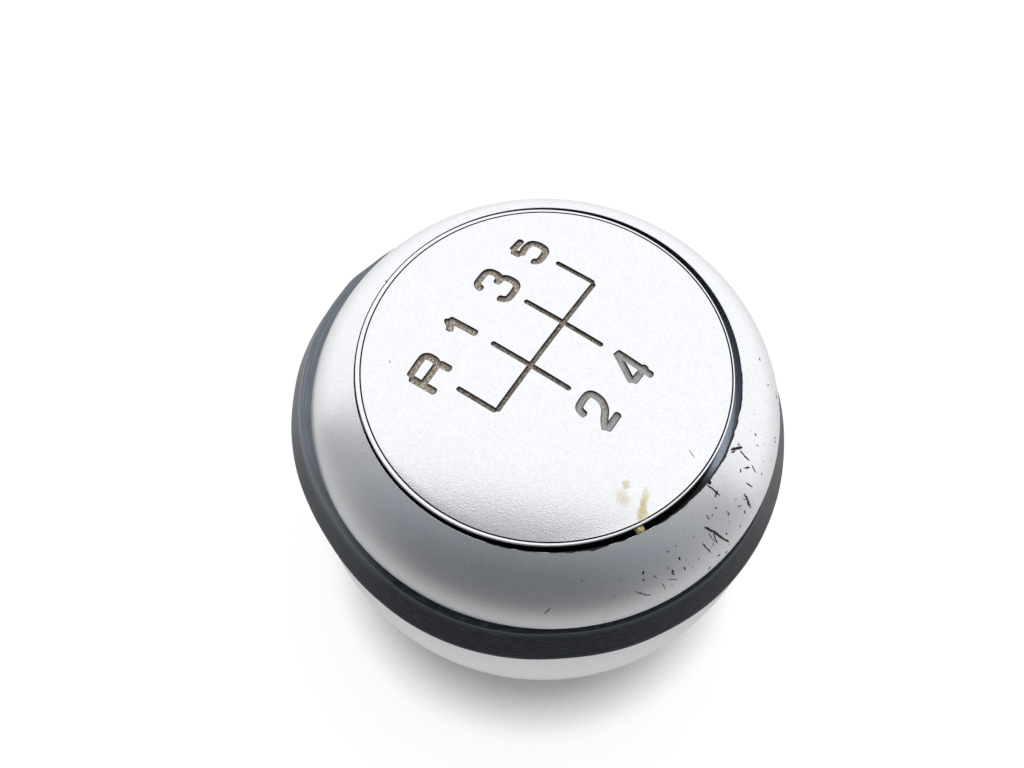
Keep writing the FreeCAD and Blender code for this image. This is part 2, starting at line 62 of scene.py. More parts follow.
# The cap's strokes, in millimetres from the cap's centre: +X right across the gate, +Y up to first, third and fifth.
# A stroke of two points is straight; a longer one is a smooth line drawn by its control points.
GATE_LANES = (
    ((-7.7, 5.45), (-7.7, 0.7)),
    ((-1.7, 5.45), (-1.7, -4.05)),
    ((4.3, 5.45), (4.3, -4.05)),
    ((10.3, 5.45), (10.3, 0.7)),
    ((-7.7, 0.7), (10.3, 0.7)),
)
UPPER_MARKS = (
    ((-9.2, 6.85), (-9.22, 10.15)),
    ((-9.22, 10.2), (-7.4, 10.35), (-6.3, 10.3), (-6.3, 8.6), (-7.4, 8.55), (-9.2, 8.55)),
    ((-7.0, 8.55), (-6.4, 8.5), (-6.4, 7.7), (-6.38, 7.0)),
    ((-2.95, 9.8), (-2.3, 9.95), (-1.9, 10.8), (-1.68, 10.75)),
    ((-1.68, 10.75), (-1.66, 7.15)),
    ((3.1, 9.8), (3.15, 10.75), (4.3, 10.85), (5.5, 10.8), (5.55, 9.3), (4.9, 9.1), (4.4, 9.1)),
    ((4.4, 9.1), (5.1, 9.1), (5.75, 8.7), (5.7, 7.1), (4.4, 6.9), (3.2, 7.0), (3.1, 8.0)),
    ((10.9, 10.1), (9.0, 10.2)),
    ((9.0, 10.2), (8.98, 8.95)),
    ((8.98, 8.95), (9.4, 9.1), (10.2, 9.25), (11.25, 9.0), (11.3, 7.2), (10.1, 6.95), (9.1, 7.05), (9.0, 7.75)),
)
LOWER_MARKS = (
    ((-3.16, -6.8), (-3.15, -5.75), (-2.1, -5.6), (-0.85, -5.7), (-0.85, -7.1), (-1.5, -8.0), (-2.7, -8.5),
     (-3.35, -9.2)),
    ((-3.35, -9.22), (-1.0, -9.25)),
    ((4.5, -5.45), (2.5, -8.6)),
    ((2.5, -8.62), (5.05, -8.75)),
    ((4.52, -5.45), (4.4, -9.9)),
)

# Scratches through the shoulder's paint: width in millimetres, then points as the angle round the knob and the angle
# up the shoulder's section, in degrees.
SHOULDER_SCRATCHES = (
    (0.34, ((-83.3, 59.0), (-81.5, 55.8), (-80.1, 52.7))),
    (0.2, ((-80.0, 56.6), (-80.2, 54.4))),
    (0.15, ((-81.2, 53.4), (-81.9, 49.4), (-81.5, 44.6))),
    (0.22, ((-83.9, 57.9), (-82.5, 56.2))),
    (0.17, ((-84.4, 46.7), (-82.8, 41.9))),
    (0.17, ((-83.0, 44.5), (-84.2, 44.1))),
    (0.1, ((-82.0, 42.2), (-82.6, 36.4))),
    (0.14, ((-86.8, 40.5), (-85.8, 33.4))),
    (0.19, ((-89.1, 37.4), (-89.3, 24.9))),
    (0.21, ((-88.8, 34.6), (-89.9, 28.1))),
    (0.1, ((-90.1, 36.0), (-89.2, 32.1))),
    (0.14, ((-92.8, 36.2), (-91.3, 33.5))),
    (0.24, ((-91.3, 29.4), (-91.7, 26.9))),
    (0.62, ((-95.1, 60.4), (-95.3, 58.1))),
    (0.14, ((-96.4, 59.6), (-95.6, 54.0), (-95.3, 50.0))),
    (0.19, ((-94.8, 53.2), (-96.8, 51.6))),
    (0.08, ((-96.3, 41.0), (-95.8, 37.2))),
    (0.09, ((-97.4, 34.3), (-96.3, 34.0))),
    (0.08, ((-101.7, 49.0), (-101.7, 45.2))),
    (0.07, ((-100.8, 45.9), (-101.8, 45.9))),
    (0.26, ((-103.9, 44.0), (-102.1, 38.3), (-101.1, 31.7), (-99.0, 22.0))),
    (0.09, ((-102.3, 37.5), (-102.5, 33.6), (-102.3, 29.4))),
    (0.07, ((-103.6, 39.5), (-103.3, 32.7), (-102.1, 29.4))),
    (0.24, ((-99.0, 30.5), (-98.9, 28.6))),
    (0.26, ((-108.9, 51.0), (-109.0, 49.9))),
    (0.09, ((-109.2, 43.2), (-109.1, 42.1))),
    (0.14, ((-106.2, 37.0), (-105.5, 32.8), (-104.9, 27.1))),
    (0.2, ((-108.3, 30.2), (-108.8, 29.3))),
    (0.16, ((-110.9, 27.9), (-110.3, 26.9))),
    (0.14, ((-109.5, 25.6), (-110.0, 24.6))),
    (0.2, ((-112.7, 31.4), (-112.7, 28.8))),
    (0.17, ((-115.5, 34.2), (-116.7, 32.3), (-115.5, 30.0))),
    (0.24, ((-116.0, 34.3), (-115.6, 31.4))),
    (0.12, ((-117.4, 29.8), (-115.1, 25.7))),
    (0.08, ((-120.6, 36.5), (-119.9, 33.4))),
    (0.09, ((-119.2, 29.6), (-118.3, 23.4))),
    (0.08, ((-117.0, 38.6), (-116.6, 35.2))),
    (0.24, ((-123.5, 37.2), (-123.5, 35.5))),
    (0.16, ((-125.9, 31.4), (-124.2, 27.8), (-122.2, 24.4))),
    (0.1, ((-120.7, 21.1), (-120.3, 19.6))),
    (0.1, ((-131.3, 33.7), (-130.8, 32.5))),
    (0.14, ((-147.2, 26.0), (-145.9, 30.1))),
    (0.12, ((-152.5, 17.4), (-152.1, 16.6))),
    (0.11, ((-58.0, 40.0), (-57.2, 37.0))),
    (0.1, ((-35.0, 30.0), (-33.6, 29.0))),
    (0.12, ((21.0, 35.0), (21.8, 31.0))),
)
# Marks on the cap's paint: width in millimetres, then points from the cap's centre.
CAP_SCRATCHES = (
    (0.1, ((12.55, 12.8), (12.75, 12.9))),
    (0.12, ((-8.9, 12.88), (-8.65, 12.96))),
    (0.08, ((-13.55, 5.7), (-13.35, 5.8))),
    (0.12, ((4.58, -12.72), (4.68, -12.88))),
    (0.08, ((-14.2, 0.8), (-14.05, 0.95))),
    (0.06, ((-0.1, -16.7), (-0.5, -17.6))),
)
# Smears of old glue on the cap: centre from the cap's centre and half length and half width in millimetres, turn in
# degrees, and how full the smear is, from 0 to 1.
GLUE_SMEARS = (
    ((-6.7, -13.6), (0.6, 0.42), 15, 0.8),
    ((-8.0, -14.0), (1.1, 0.75), 65, 0.45),
    ((-7.1, -15.9), (1.5, 0.46), 22, 0.9),
    ((-8.1, -16.3), (1.1, 0.62), 20, 1.0),
)
# How far the loose grip band's edge stands off its moulded circle: angle round the knob in degrees, millimetres.
BAND_EDGE = (
    (-168, 0.31), (-150, 0.13), (-138, 0.0), (-108, 0.0), (-84, -0.28), (-60, -0.55), (-20, -0.6), (30, -0.5),
    (60, -0.15), (72, 0.3), (84, 0.7), (102, 1.15), (120, 0.9), (135, 0.64), (150, 0.27), (161, 0.11), (174, 0.22),
)


def mm(value):
    return value * MM


def per(millimetres):
    """Pattern scale, in repeats a metre, for a detail of this size."""
    return 1 / mm(millimetres)


def way_round(angle):
    """Level direction at an angle round the knob's axis."""
    return (math.cos(angle), math.sin(angle), 0.0)


def arc_over(half_chord, rise):
    """Radius of the arc that rises this far over a chord."""
    return (half_chord ** 2 + rise ** 2) / (2 * rise)


def linear(hex_colour):
    """sRGB hex to the linear values that shaders work in."""
    parts = [int(hex_colour[index:index + 2], 16) / 255 for index in (1, 3, 5)]
    return [part / 12.92 if part <= 0.04045 else ((part + 0.055) / 1.055) ** 2.4 for part in parts]


def length(name, description, millimetres):
    return FloatProperty(name=name, description=description, default=mm(millimetres), unit="LENGTH", precision=5)


def colour(name, description, hex_colour):
    return FloatVectorProperty(
        name=name, description=description, default=linear(hex_colour), subtype="COLOR", min=0, max=1)


def turn(name, description, degrees):
    return FloatProperty(name=name, description=description, default=math.radians(degrees), subtype="ANGLE")


class KnobFinish(bpy.types.PropertyGroup):
    """Colours of the knob's finishes."""

    silver: colour("Silver", "Bright flakes of the silver paint", "#eeeff2")
    silver_shade: colour("Silver shade", "Paint between the flakes", "#e4e5e8")
    overspray: colour("Overspray", "Thin paint on the recess wall", "#aeb7c6")
    bare_plastic: colour("Bare plastic", "Black plastic where the paint is gone", "#131418")
    rubber: colour("Rubber", "Grip band", "#141a22")
    # The dust colour also paints the highlight along the band's ledge corner.
    rubber_dust_and_highlight: colour("Rubber dust", "Dust on the grip band", "#5d646e")
    # Grey painted sheen: it stands for the room's light on the lit side of the grip band.
    rubber_painted_sheen: colour("Rubber bloom", "Grey bloom on one side of the grip band", "#8a929c")
    # The dark edge colour is partly dirt and partly painted shade on the engraving's walls.
    dirt: colour("Dirt", "Dark dirt along the engraving's edges", "#2a221c")
    dirt_floor: colour("Dirt floor", "Brown dirt on the engraving's floor", "#a39486")
    dirt_crumb: colour("Dirt crumb", "Pale crumbs in that dirt", "#f6eee0")
    worn_groove: colour("Worn groove", "Wiped engraving of the lower marks", "#cacace")
    glue: colour("Glue", "Yellowed glue", "#f5d452")
    glue_thin: colour("Thin glue", "The same glue where it is thin", "#f6f1cf")
    nylon: colour("Nylon", "Moulded core", "#1b1c1e")
    steel: colour("Steel", "Turned lever sleeve", "#b4b3b0")
    zinc: colour("Zinc", "Plated screws", "#c3c6cb")


class KnobCap(bpy.types.PropertyGroup):
    """Sizes of the cap with the shift pattern."""

    radius: length("Radius", "Edge of the cap", (CAP_HIGH.x - CAP_LOW.x) / 2 / MM)
    skirt: length("Skirt", "Wall of the skirt", 1.7)
    wall: length("Wall", "Wall of the top", 1.6)
    rim_z: length("Rim level", "Rim of the cap above the base", CAP_HIGH.z / MM - 1.8)
    foot_z: length("Foot level", "Foot of the skirt above the base", 47.314)
    dome: length("Dome", "Rise of the dome", 1.8)
    edge_round: length("Edge rounding", "Rounding of the rim's outer edge", 0.12)
    line_inset: length("Line inset", "Bead outside the line round the dome", 0.29)
    line_width: length("Line width", "Width of that line", 0.16)
    line_depth: length("Line depth", "Depth of that line", 0.2)
    line_shift: length("Line shift", "Line turned off the cap's centre", 0.13)
    line_angle: turn("Line angle", "Side on which the bead is thinnest", -62)
    shift_x: length("Shift X", "Cap glued back off-centre, along X", (CAP_HIGH.x + CAP_LOW.x) / 2 / MM)
    shift_y: length("Shift Y", "Cap glued back off-centre, along Y", (CAP_HIGH.y + CAP_LOW.y) / 2 / MM)
    peg_circle: length("Peg circle", "Circle of the three pegs under the cap", 12.72)
    peg_radius: length("Peg radius", "Locating pegs under the cap", 1.0)
    peg_z: length("Peg level", "Lower end of the pegs above the base", CAP_LOW.z / MM)
    peg_root: length("Peg root", "How far the pegs run into the top", 1.0)
    stroke_width: length("Stroke width", "Width of the engraved strokes", 0.56)
    stroke_depth: length("Stroke depth", "Depth of the engraved strokes", 0.35)
    mark_weight: FloatProperty(
        name="Mark weight", description="Stroke of the digits and the letter against a lane's", default=1.45)
    facets: IntProperty(name="Facets", description="Facets round the cap", default=240, min=48)


class KnobBand(bpy.types.PropertyGroup):
    """Sizes of the rubber grip band."""

    inside: length("Inside", "Bore of the band", 22.958)
    edge_round: length("Edge rounding", "Rounding of the flared lower edge", 0.4)
    ledge_radius: length("Ledge radius", "Outer corner of the ledge", 25.55)
    ledge_drop: length("Ledge drop", "Fall of the ledge below the band's top", 0.45)
    ledge_round: length("Ledge rounding", "Rounding of the ledge's corner", 0.35)
    tuck_radius: length("Tuck radius", "Where the ledge starts under the upper shell", 24.558)
    # Side of the band that gets the grey painted sheen, where the room's light falls.
    painted_sheen_angle: turn("Bloom angle", "Side on which the rubber has bloomed", 105)
    kink: length("Kink", "Height of the small kink in its edge", 0.22)
    kink_angle: turn("Kink angle", "Place of that kink", 89)
    kink_spread: turn("Kink spread", "Half width of that kink", 4)
    waver: length("Waver", "Unevenness of the loose edge", 0.06)
    loose_width: length("Loose width", "Width over which the ledge comes off its seat", 0.9)
    facets: IntProperty(name="Facets", description="Facets round the band", default=360, min=48)


class KnobShoulder(bpy.types.PropertyGroup):
    """Section of the upper shell's shoulder, and the wear of its lip."""

    arc_radius: length("Arc radius", "Radius of the shoulder's section", 11.2)
    arc_r: length("Arc centre radius", "Centre of that arc from the knob's axis", 14.156)
    arc_z: length("Arc centre level", "Centre of that arc above the base", 40.298)
    lip_radius: length("Lip radius", "Wall of the cap's recess", 19.628)
    lip_z: length("Lip level", "Lip of the recess above the base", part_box("upper_shell")[1].z / MM)
    lip_wear: length("Lip wear", "How far the paint has gone back from the lip", 0.16)
    recess_depth: length("Recess depth", "Thinly painted recess wall below the lip", 6.0)
    scratch_lift: length("Scratch lift", "How far a scratch is drawn above the paint", 0.03)
    chip_size: length("Chip size", "Usual chip in the paint", 0.15)
    chip_density: FloatProperty(name="Chip density", description="Chips on a square metre", default=3.6e5, min=0)
    chip_seed: IntProperty(name="Chip seed", description="Places of the chips", default=7, min=0)
    chip_angle: turn("Chip angle", "Side of the shoulder that has most chips", -97)
    wear_angle: turn("Wear angle", "Side of the lip that has lost most paint", -112)
    mask_angle: turn("Mask angle", "Side of the recess that the paint has missed", -140)


class KnobGlue(bpy.types.PropertyGroup):
    """Sizes of the old glue."""

    film: length("Film", "Smear at its edge, above the cap", 0.012)
    crown: length("Crown", "Rise of a smear in its middle", 0.06)
    bead_angle: turn("Bead angle", "Place of the bead in the gap", -120.3)
    bead_radius: length("Bead radius", "Middle of the bead from the knob's axis", 19.35)
    bead_z: length("Bead level", "Middle of the bead above the base", 50.0)
    bead_size: FloatVectorProperty(
        name="Bead size", description="Half sizes of the bead across the gap, along it and upright",
        default=(mm(0.5), mm(0.45), mm(0.35)), unit="LENGTH", precision=5)


class KnobStage(bpy.types.PropertyGroup):
    """Camera, floor and lamps."""

    lens: FloatProperty(name="Lens", description="Focal length in millimetres on a 36 mm sensor", default=38.67)
    azimuth: turn("Azimuth", "Turn of the camera round the knob", -57.06)
    elevation: turn("Elevation", "Rise of the camera above the floor", 63.01)
    roll: turn("Roll", "Tilt of the picture", -1.23)
    place: FloatVectorProperty(
        name="Place", description="Camera in metres", default=(mm(-45.92), mm(-25.43), mm(148.66)), unit="LENGTH")
    floor: colour("Floor", "Pale table", "#cdcdcd")
    floor_lift: FloatProperty(name="Floor lift", description="White added to the floor for the eye", default=0.64)
    floor_sheen: FloatProperty(name="Floor sheen", description="Floor round the knob in the paint", default=0.68)
    ambient: FloatProperty(name="Ambient", description="Light of the room on matt surfaces", default=0.5)
    room_bright: FloatProperty(name="Room bright", description="Far side of the room in the paint", default=1.19)
    room_middle: FloatProperty(name="Room middle", description="Room overhead in the paint", default=0.43)
    room_dark: FloatProperty(name="Room dark", description="Camera's side of the room in the paint", default=0.17)
    dark_turn: turn("Dark turn", "How far left of the camera the room's dark side lies", 10)
    room_tint: colour("Room tint", "Cool cast of the room's dark side", "#eef4fd")
    softbox_power: FloatProperty(
        name="Softbox power", description="Large lamp above the knob", default=1.6, unit="POWER")
    softbox_size: FloatVectorProperty(
        name="Softbox size", description="Width and depth of that lamp", default=(0.9, 0.7), size=2, unit="LENGTH")
    softbox_distance: length("Softbox distance", "That lamp from the knob's foot", 750)
    softbox_turn: turn("Softbox turn", "How far right of the far side that lamp hangs", 40)
    softbox_rise: turn("Softbox rise", "Rise of that lamp above the floor", 80)
    table_half: length("Table half width", "Half width of the table", 4000)
    table_drop: length("Table drop", "Table below the knob's foot", 0.05)


SETTINGS = {
    "knob_finish": KnobFinish,
    "knob_cap": KnobCap,
    "knob_band": KnobBand,
    "knob_shoulder": KnobShoulder,
    "knob_glue": KnobGlue,
    "knob_stage": KnobStage,
}


def add_node(tree, kind, inputs=None, **settings):
    """Add a node, set it up and link or fill its inputs."""
    node = tree.nodes.new(kind)
    for name, value in settings.items():
        setattr(node, name, value)
    for socket, value in (inputs or {}).items():
        if isinstance(value, bpy.types.NodeSocket):
            tree.links.new(value, node.inputs[socket])
        else:
            node.inputs[socket].default_value = value
    return node


def opaque(rgb):
    return (*rgb, 1.0)


def start_material(name):
    """An empty node material with its Object coordinates."""
    material = bpy.data.materials.new(name)
    material.use_nodes = True
    tree = material.node_tree
    tree.nodes.clear()
    return material, tree, add_node(tree, "ShaderNodeTexCoord").outputs["Object"]


def finish_material(tree, shader_inputs):
    shader = add_node(tree, "ShaderNodeBsdfPrincipled", shader_inputs)
    add_node(tree, "ShaderNodeOutputMaterial", {"Surface": shader.outputs["BSDF"]})


def cloudy_gloss(tree, coords, millimetres, detail, roughness):
    """Clouds of this size on a surface, and the roughness that goes with them, from its least to its most."""
    clouds = add_node(tree, "ShaderNodeTexNoise", {"Vector": coords, "Scale": per(millimetres), "Detail": detail})
    gloss = add_node(tree, "ShaderNodeMapRange", {
        "Value": clouds.outputs["Fac"], "To Min": roughness[0], "To Max": roughness[1]})
    return clouds.outputs["Fac"], gloss.outputs["Result"]


def side_of_knob(tree, coords, angle):
    """How far a spot lies towards an angle round the knob: 1 there, -1 on the other side."""
    flat = add_node(tree, "ShaderNodeVectorMath", {0: coords, 1: (1.0, 1.0, 0.0)}, operation="MULTIPLY")
    outward = add_node(tree, "ShaderNodeVectorMath", {0: flat.outputs["Vector"]}, operation="NORMALIZE")
    return add_node(tree, "ShaderNodeVectorMath", {
        0: outward.outputs["Vector"], 1: way_round(angle)}, operation="DOT_PRODUCT").outputs["Value"]


def silver_flakes(tree, coords, finish):
    """Colour and height of the paint's flakes. Real ones are 0.03 mm; drawn at 0.15 mm so that they show."""
    flakes = add_node(tree, "ShaderNodeTexVoronoi", {"Vector": coords, "Scale": per(0.15)})
    shade = add_node(tree, "ShaderNodeSeparateXYZ", {"Vector": flakes.outputs["Color"]})
    paint = add_node(tree, "ShaderNodeMix", {
        0: shade.outputs["X"], 6: opaque(finish.silver_shade), 7: opaque(finish.silver)}, data_type="RGBA")
    return paint.outputs[2], flakes.outputs["Distance"]


def silver_cap_paint(finish):
    """Satin silver paint on ABS: a soft metallic sheen with a fine grain of flakes."""
    material, tree, coords = start_material("satin_silver_paint_on_cap")
    paint, flake_height = silver_flakes(tree, coords, finish)
    _, gloss = cloudy_gloss(tree, coords, millimetres=6.0, detail=4.0, roughness=(0.13, 0.2))
    bump = add_node(tree, "ShaderNodeBump", {"Height": flake_height, "Strength": 0.08, "Distance": mm(0.05)})
    finish_material(tree, {
        "Base Color": paint, "Metallic": 0.95, "Roughness": gloss, "Normal": bump.outputs["Normal"]})
    return material


def silver_shell_paint(finish, shoulder):
    """Satin silver paint on black ABS: the same sheen, thin paint in the recess, bare black along its worn lip."""
    material, tree, coords = start_material("satin_silver_paint_on_shell")
    paint, flake_height = silver_flakes(tree, coords, finish)
    flat = add_node(tree, "ShaderNodeVectorMath", {0: coords, 1: (1.0, 1.0, 0.0)}, operation="MULTIPLY")
    radius = add_node(tree, "ShaderNodeVectorMath", {0: flat.outputs["Vector"]}, operation="LENGTH")
    reach = add_node(tree, "ShaderNodeMapRange", {
        "Value": side_of_knob(tree, coords, shoulder.wear_angle), "From Min": math.cos(math.radians(62)),
        "From Max": math.cos(math.radians(44)), "To Min": mm(-0.12), "To Max": shoulder.lip_wear},
        interpolation_type="SMOOTHSTEP")
    ragged = add_node(tree, "ShaderNodeTexNoise", {
        "Vector": coords, "Scale": per(1.9), "Detail": 4.0, "Roughness": 0.55})
    torn = add_node(tree, "ShaderNodeMapRange", {
        "Value": ragged.outputs["Fac"], "From Min": 0.25, "From Max": 0.75, "To Min": mm(-0.14), "To Max": mm(0.14)})
    bare_reach = add_node(
        tree, "ShaderNodeMath", {0: torn.outputs["Result"], 1: reach.outputs["Result"]}, operation="ADD")
    past_lip = add_node(
        tree, "ShaderNodeMath", {0: radius.outputs["Value"], 1: shoulder.lip_radius}, operation="SUBTRACT")
    inside = add_node(
        tree, "ShaderNodeMath", {0: bare_reach.outputs["Value"], 1: past_lip.outputs["Value"]}, operation="SUBTRACT")
    chipped = add_node(tree, "ShaderNodeMapRange", {
        "Value": inside.outputs["Value"], "From Min": mm(-0.02), "From Max": mm(0.02)})
    height = add_node(tree, "ShaderNodeSeparateXYZ", {"Vector": coords}).outputs["Z"]
    near_lip = add_node(tree, "ShaderNodeMapRange", {
        "Value": height, "From Min": shoulder.lip_z - mm(0.22), "From Max": shoulder.lip_z - mm(0.12)})
    torn_lip = add_node(tree, "ShaderNodeMath", {
        0: chipped.outputs["Result"], 1: near_lip.outputs["Result"]}, operation="MULTIPLY").outputs["Value"]
    inward = add_node(tree, "ShaderNodeMapRange", {
        "Value": past_lip.outputs["Value"], "From Min": mm(0.04), "From Max": mm(0.02)})
    by_recess = add_node(tree, "ShaderNodeMath", {
        0: height, 1: shoulder.lip_z - shoulder.recess_depth}, operation="GREATER_THAN")
    wall = add_node(tree, "ShaderNodeMath", {
        0: inward.outputs["Result"], 1: by_recess.outputs[0]}, operation="MULTIPLY").outputs["Value"]
    masked = add_node(tree, "ShaderNodeMapRange", {
        "Value": side_of_knob(tree, coords, shoulder.mask_angle), "From Min": math.cos(math.radians(56)),
        "From Max": math.cos(math.radians(44))}, interpolation_type="SMOOTHSTEP")
    wall_colour = add_node(tree, "ShaderNodeMix", {
        0: masked.outputs["Result"], 6: opaque(finish.overspray), 7: opaque(finish.bare_plastic)}, data_type="RGBA")
    coated = add_node(tree, "ShaderNodeMix", {0: wall, 6: paint, 7: wall_colour.outputs[2]}, data_type="RGBA")
    colour_out = add_node(tree, "ShaderNodeMix", {
        0: torn_lip, 6: coated.outputs[2], 7: opaque(finish.bare_plastic)}, data_type="RGBA")
    missed = add_node(tree, "ShaderNodeMath", {0: wall, 1: masked.outputs["Result"]}, operation="MULTIPLY")
    bare = add_node(
        tree, "ShaderNodeMath", {0: torn_lip, 1: missed.outputs["Value"]}, operation="MAXIMUM").outputs["Value"]
    _, gloss = cloudy_gloss(tree, coords, millimetres=5.0, detail=4.0, roughness=(0.28, 0.38))
    roughness = add_node(tree, "ShaderNodeMix", {0: bare, 2: gloss, 3: 0.4})
    metal = add_node(tree, "ShaderNodeMapRange", {"Value": bare, "To Min": 0.95, "To Max": 0.0})
    bump = add_node(tree, "ShaderNodeBump", {"Height": flake_height, "Strength": 0.08, "Distance": mm(0.05)})
    finish_material(tree, {
        "Base Color": colour_out.outputs[2], "Metallic": metal.outputs["Result"], "Roughness": roughness.outputs[0],
        "Normal": bump.outputs["Normal"]})
    return material


def bare_black_plastic(finish):
    """Moulded black ABS: deep black with a soft gloss and faint cloudiness."""
    material, tree, coords = start_material("moulded_black_abs")
    clouds, gloss = cloudy_gloss(tree, coords, millimetres=0.8, detail=4.0, roughness=(0.2, 0.4))
    shade = add_node(tree, "ShaderNodeMix", {
        0: clouds, 6: opaque(finish.bare_plastic), 7: opaque(finish.rubber)}, data_type="RGBA")
    finish_material(tree, {"Base Color": shade.outputs[2], "Roughness": gloss, "Specular IOR Level": 0.25})
    return material


def packed_dirt(finish):
    """Ground-in dirt: brown with pale crumbs on a groove's floor, dark on its walls as dirt and as painted shade of the
    walls; wiped grey below the gate.
    """
    material, tree, coords = start_material("packed_dirt")
    crumbs = add_node(tree, "ShaderNodeTexNoise", {"Vector": coords, "Scale": per(0.17), "Detail": 3.0})
    crumb = add_node(tree, "ShaderNodeMapRange", {"Value": crumbs.outputs["Fac"], "From Min": 0.5, "From Max": 0.58})
    soiled = add_node(tree, "ShaderNodeMix", {
        0: crumb.outputs["Result"], 6: opaque(finish.dirt_floor), 7: opaque(finish.dirt_crumb)}, data_type="RGBA")
    place = add_node(tree, "ShaderNodeSeparateXYZ", {"Vector": coords})
    wiped = add_node(tree, "ShaderNodeMapRange", {
        "Value": place.outputs["Y"], "From Min": mm(-4.6), "From Max": mm(-5.4)})
    patchy = add_node(tree, "ShaderNodeTexNoise", {"Vector": coords, "Scale": per(0.9), "Detail": 3.0})
    grey = add_node(tree, "ShaderNodeMapRange", {"Value": patchy.outputs["Fac"], "From Min": 0.35, "From Max": 0.55})
    share = add_node(tree, "ShaderNodeMath", {
        0: wiped.outputs["Result"], 1: grey.outputs["Result"]}, operation="MULTIPLY")
    ground = add_node(tree, "ShaderNodeMix", {
        0: share.outputs["Value"], 6: soiled.outputs[2], 7: opaque(finish.worn_groove)}, data_type="RGBA")
    # Dark on the groove's walls near the surface, paler on its floor: partly dirt, partly painted shade of the walls.
    hollow = add_node(tree, "ShaderNodeAttribute", attribute_name="hollow").outputs["Fac"]
    uneven = add_node(tree, "ShaderNodeMapRange", {"Value": patchy.outputs["Fac"], "To Min": 0.2, "To Max": 0.9})
    floor = add_node(tree, "ShaderNodeMapRange", {
        "Value": hollow, "From Min": uneven.outputs["Result"], "From Max": 1.25})
    colour_out = add_node(tree, "ShaderNodeMix", {
        0: floor.outputs["Result"], 6: opaque(finish.dirt), 7: ground.outputs[2]}, data_type="RGBA")
    bump = add_node(tree, "ShaderNodeBump", {"Height": crumbs.outputs["Fac"], "Strength": 0.6, "Distance": mm(0.1)})
    finish_material(tree, {"Base Color": colour_out.outputs[2], "Roughness": 0.7, "Normal": bump.outputs["Normal"]})
    return material


def grip_rubber(finish, band, corner_z):
    """Moulded black rubber: slate black with a soft gloss and fine lines running round it, specks of dust, a pale
    painted highlight along its ledge's corner and a grey painted sheen on the side where the room's light falls."""
    material, tree, coords = start_material("moulded_black_rubber")
    around = add_node(tree, "ShaderNodeUVMap", uv_map="around")
    drawn = add_node(tree, "ShaderNodeMapping", {
        "Vector": around.outputs["UV"], "Scale": (per(6.0), per(0.1), 1.0)})
    lines = add_node(tree, "ShaderNodeTexNoise", {"Vector": drawn.outputs["Vector"], "Scale": 1.0, "Detail": 5.0})
    specks = add_node(tree, "ShaderNodeMapping", {
        "Vector": around.outputs["UV"], "Scale": (per(1.2), per(0.2), 1.0)})
    dust = add_node(tree, "ShaderNodeTexNoise", {"Vector": specks.outputs["Vector"], "Scale": 1.0, "Detail": 4.0})
    dusty = add_node(tree, "ShaderNodeMapRange", {
        "Value": dust.outputs["Fac"], "From Min": 0.5, "From Max": 0.95, "To Max": 0.6})
    height = add_node(tree, "ShaderNodeSeparateXYZ", {"Vector": coords}).outputs["Z"]
    from_corner = add_node(tree, "ShaderNodeMath", {0: height, 1: corner_z}, operation="SUBTRACT")
    off_corner = add_node(tree, "ShaderNodeMath", {0: from_corner.outputs[0]}, operation="ABSOLUTE")
    # A pale line of the dust colour along the ledge's corner: a painted highlight, where the rounded corner catches the
    # light.
    corner = add_node(tree, "ShaderNodeMapRange", {
        "Value": off_corner.outputs[0], "From Min": mm(0.09), "From Max": mm(0.02), "To Max": 0.8})
    dust_and_highlight = add_node(tree, "ShaderNodeMath", {
        0: dusty.outputs["Result"], 1: corner.outputs["Result"]}, operation="MAXIMUM")
    dust_and_highlight_colour = add_node(tree, "ShaderNodeMix", {
        0: dust_and_highlight.outputs[0], 6: opaque(finish.rubber), 7: opaque(finish.rubber_dust_and_highlight)}, data_type="RGBA")
    # Grey painted sheen on the band's lit side, strongest high on the band and streaked by its lines.
    painted_sheen = add_node(tree, "ShaderNodeMapRange", {
        "Value": side_of_knob(tree, coords, band.painted_sheen_angle), "From Min": 0.3, "From Max": 0.94, "To Max": 0.95})
    streaky = add_node(tree, "ShaderNodeMapRange", {
        "Value": lines.outputs["Fac"], "From Min": 0.3, "From Max": 0.6, "To Min": 0.55, "To Max": 1.0})
    upper = add_node(tree, "ShaderNodeMapRange", {
        "Value": height, "From Min": corner_z - mm(1.3), "From Max": corner_z - mm(0.3), "To Min": 0.3, "To Max": 1.0})
    lit_upper = add_node(tree, "ShaderNodeMath", {
        0: painted_sheen.outputs["Result"], 1: upper.outputs["Result"]}, operation="MULTIPLY")
    sheen_share = add_node(tree, "ShaderNodeMath", {
        0: lit_upper.outputs[0], 1: streaky.outputs["Result"]}, operation="MULTIPLY")
    shade = add_node(tree, "ShaderNodeMix", {
        0: sheen_share.outputs[0], 6: dust_and_highlight_colour.outputs[2], 7: opaque(finish.rubber_painted_sheen)}, data_type="RGBA")
    roughness = add_node(tree, "ShaderNodeMapRange", {"Value": lines.outputs["Fac"], "To Min": 0.24, "To Max": 0.42})
    bump = add_node(tree, "ShaderNodeBump", {"Height": lines.outputs["Fac"], "Strength": 0.2, "Distance": mm(0.08)})
    finish_material(tree, {
        "Base Color": shade.outputs[2], "Roughness": roughness.outputs["Result"], "Specular IOR Level": 0.22,
        "Normal": bump.outputs["Normal"]})
    return material


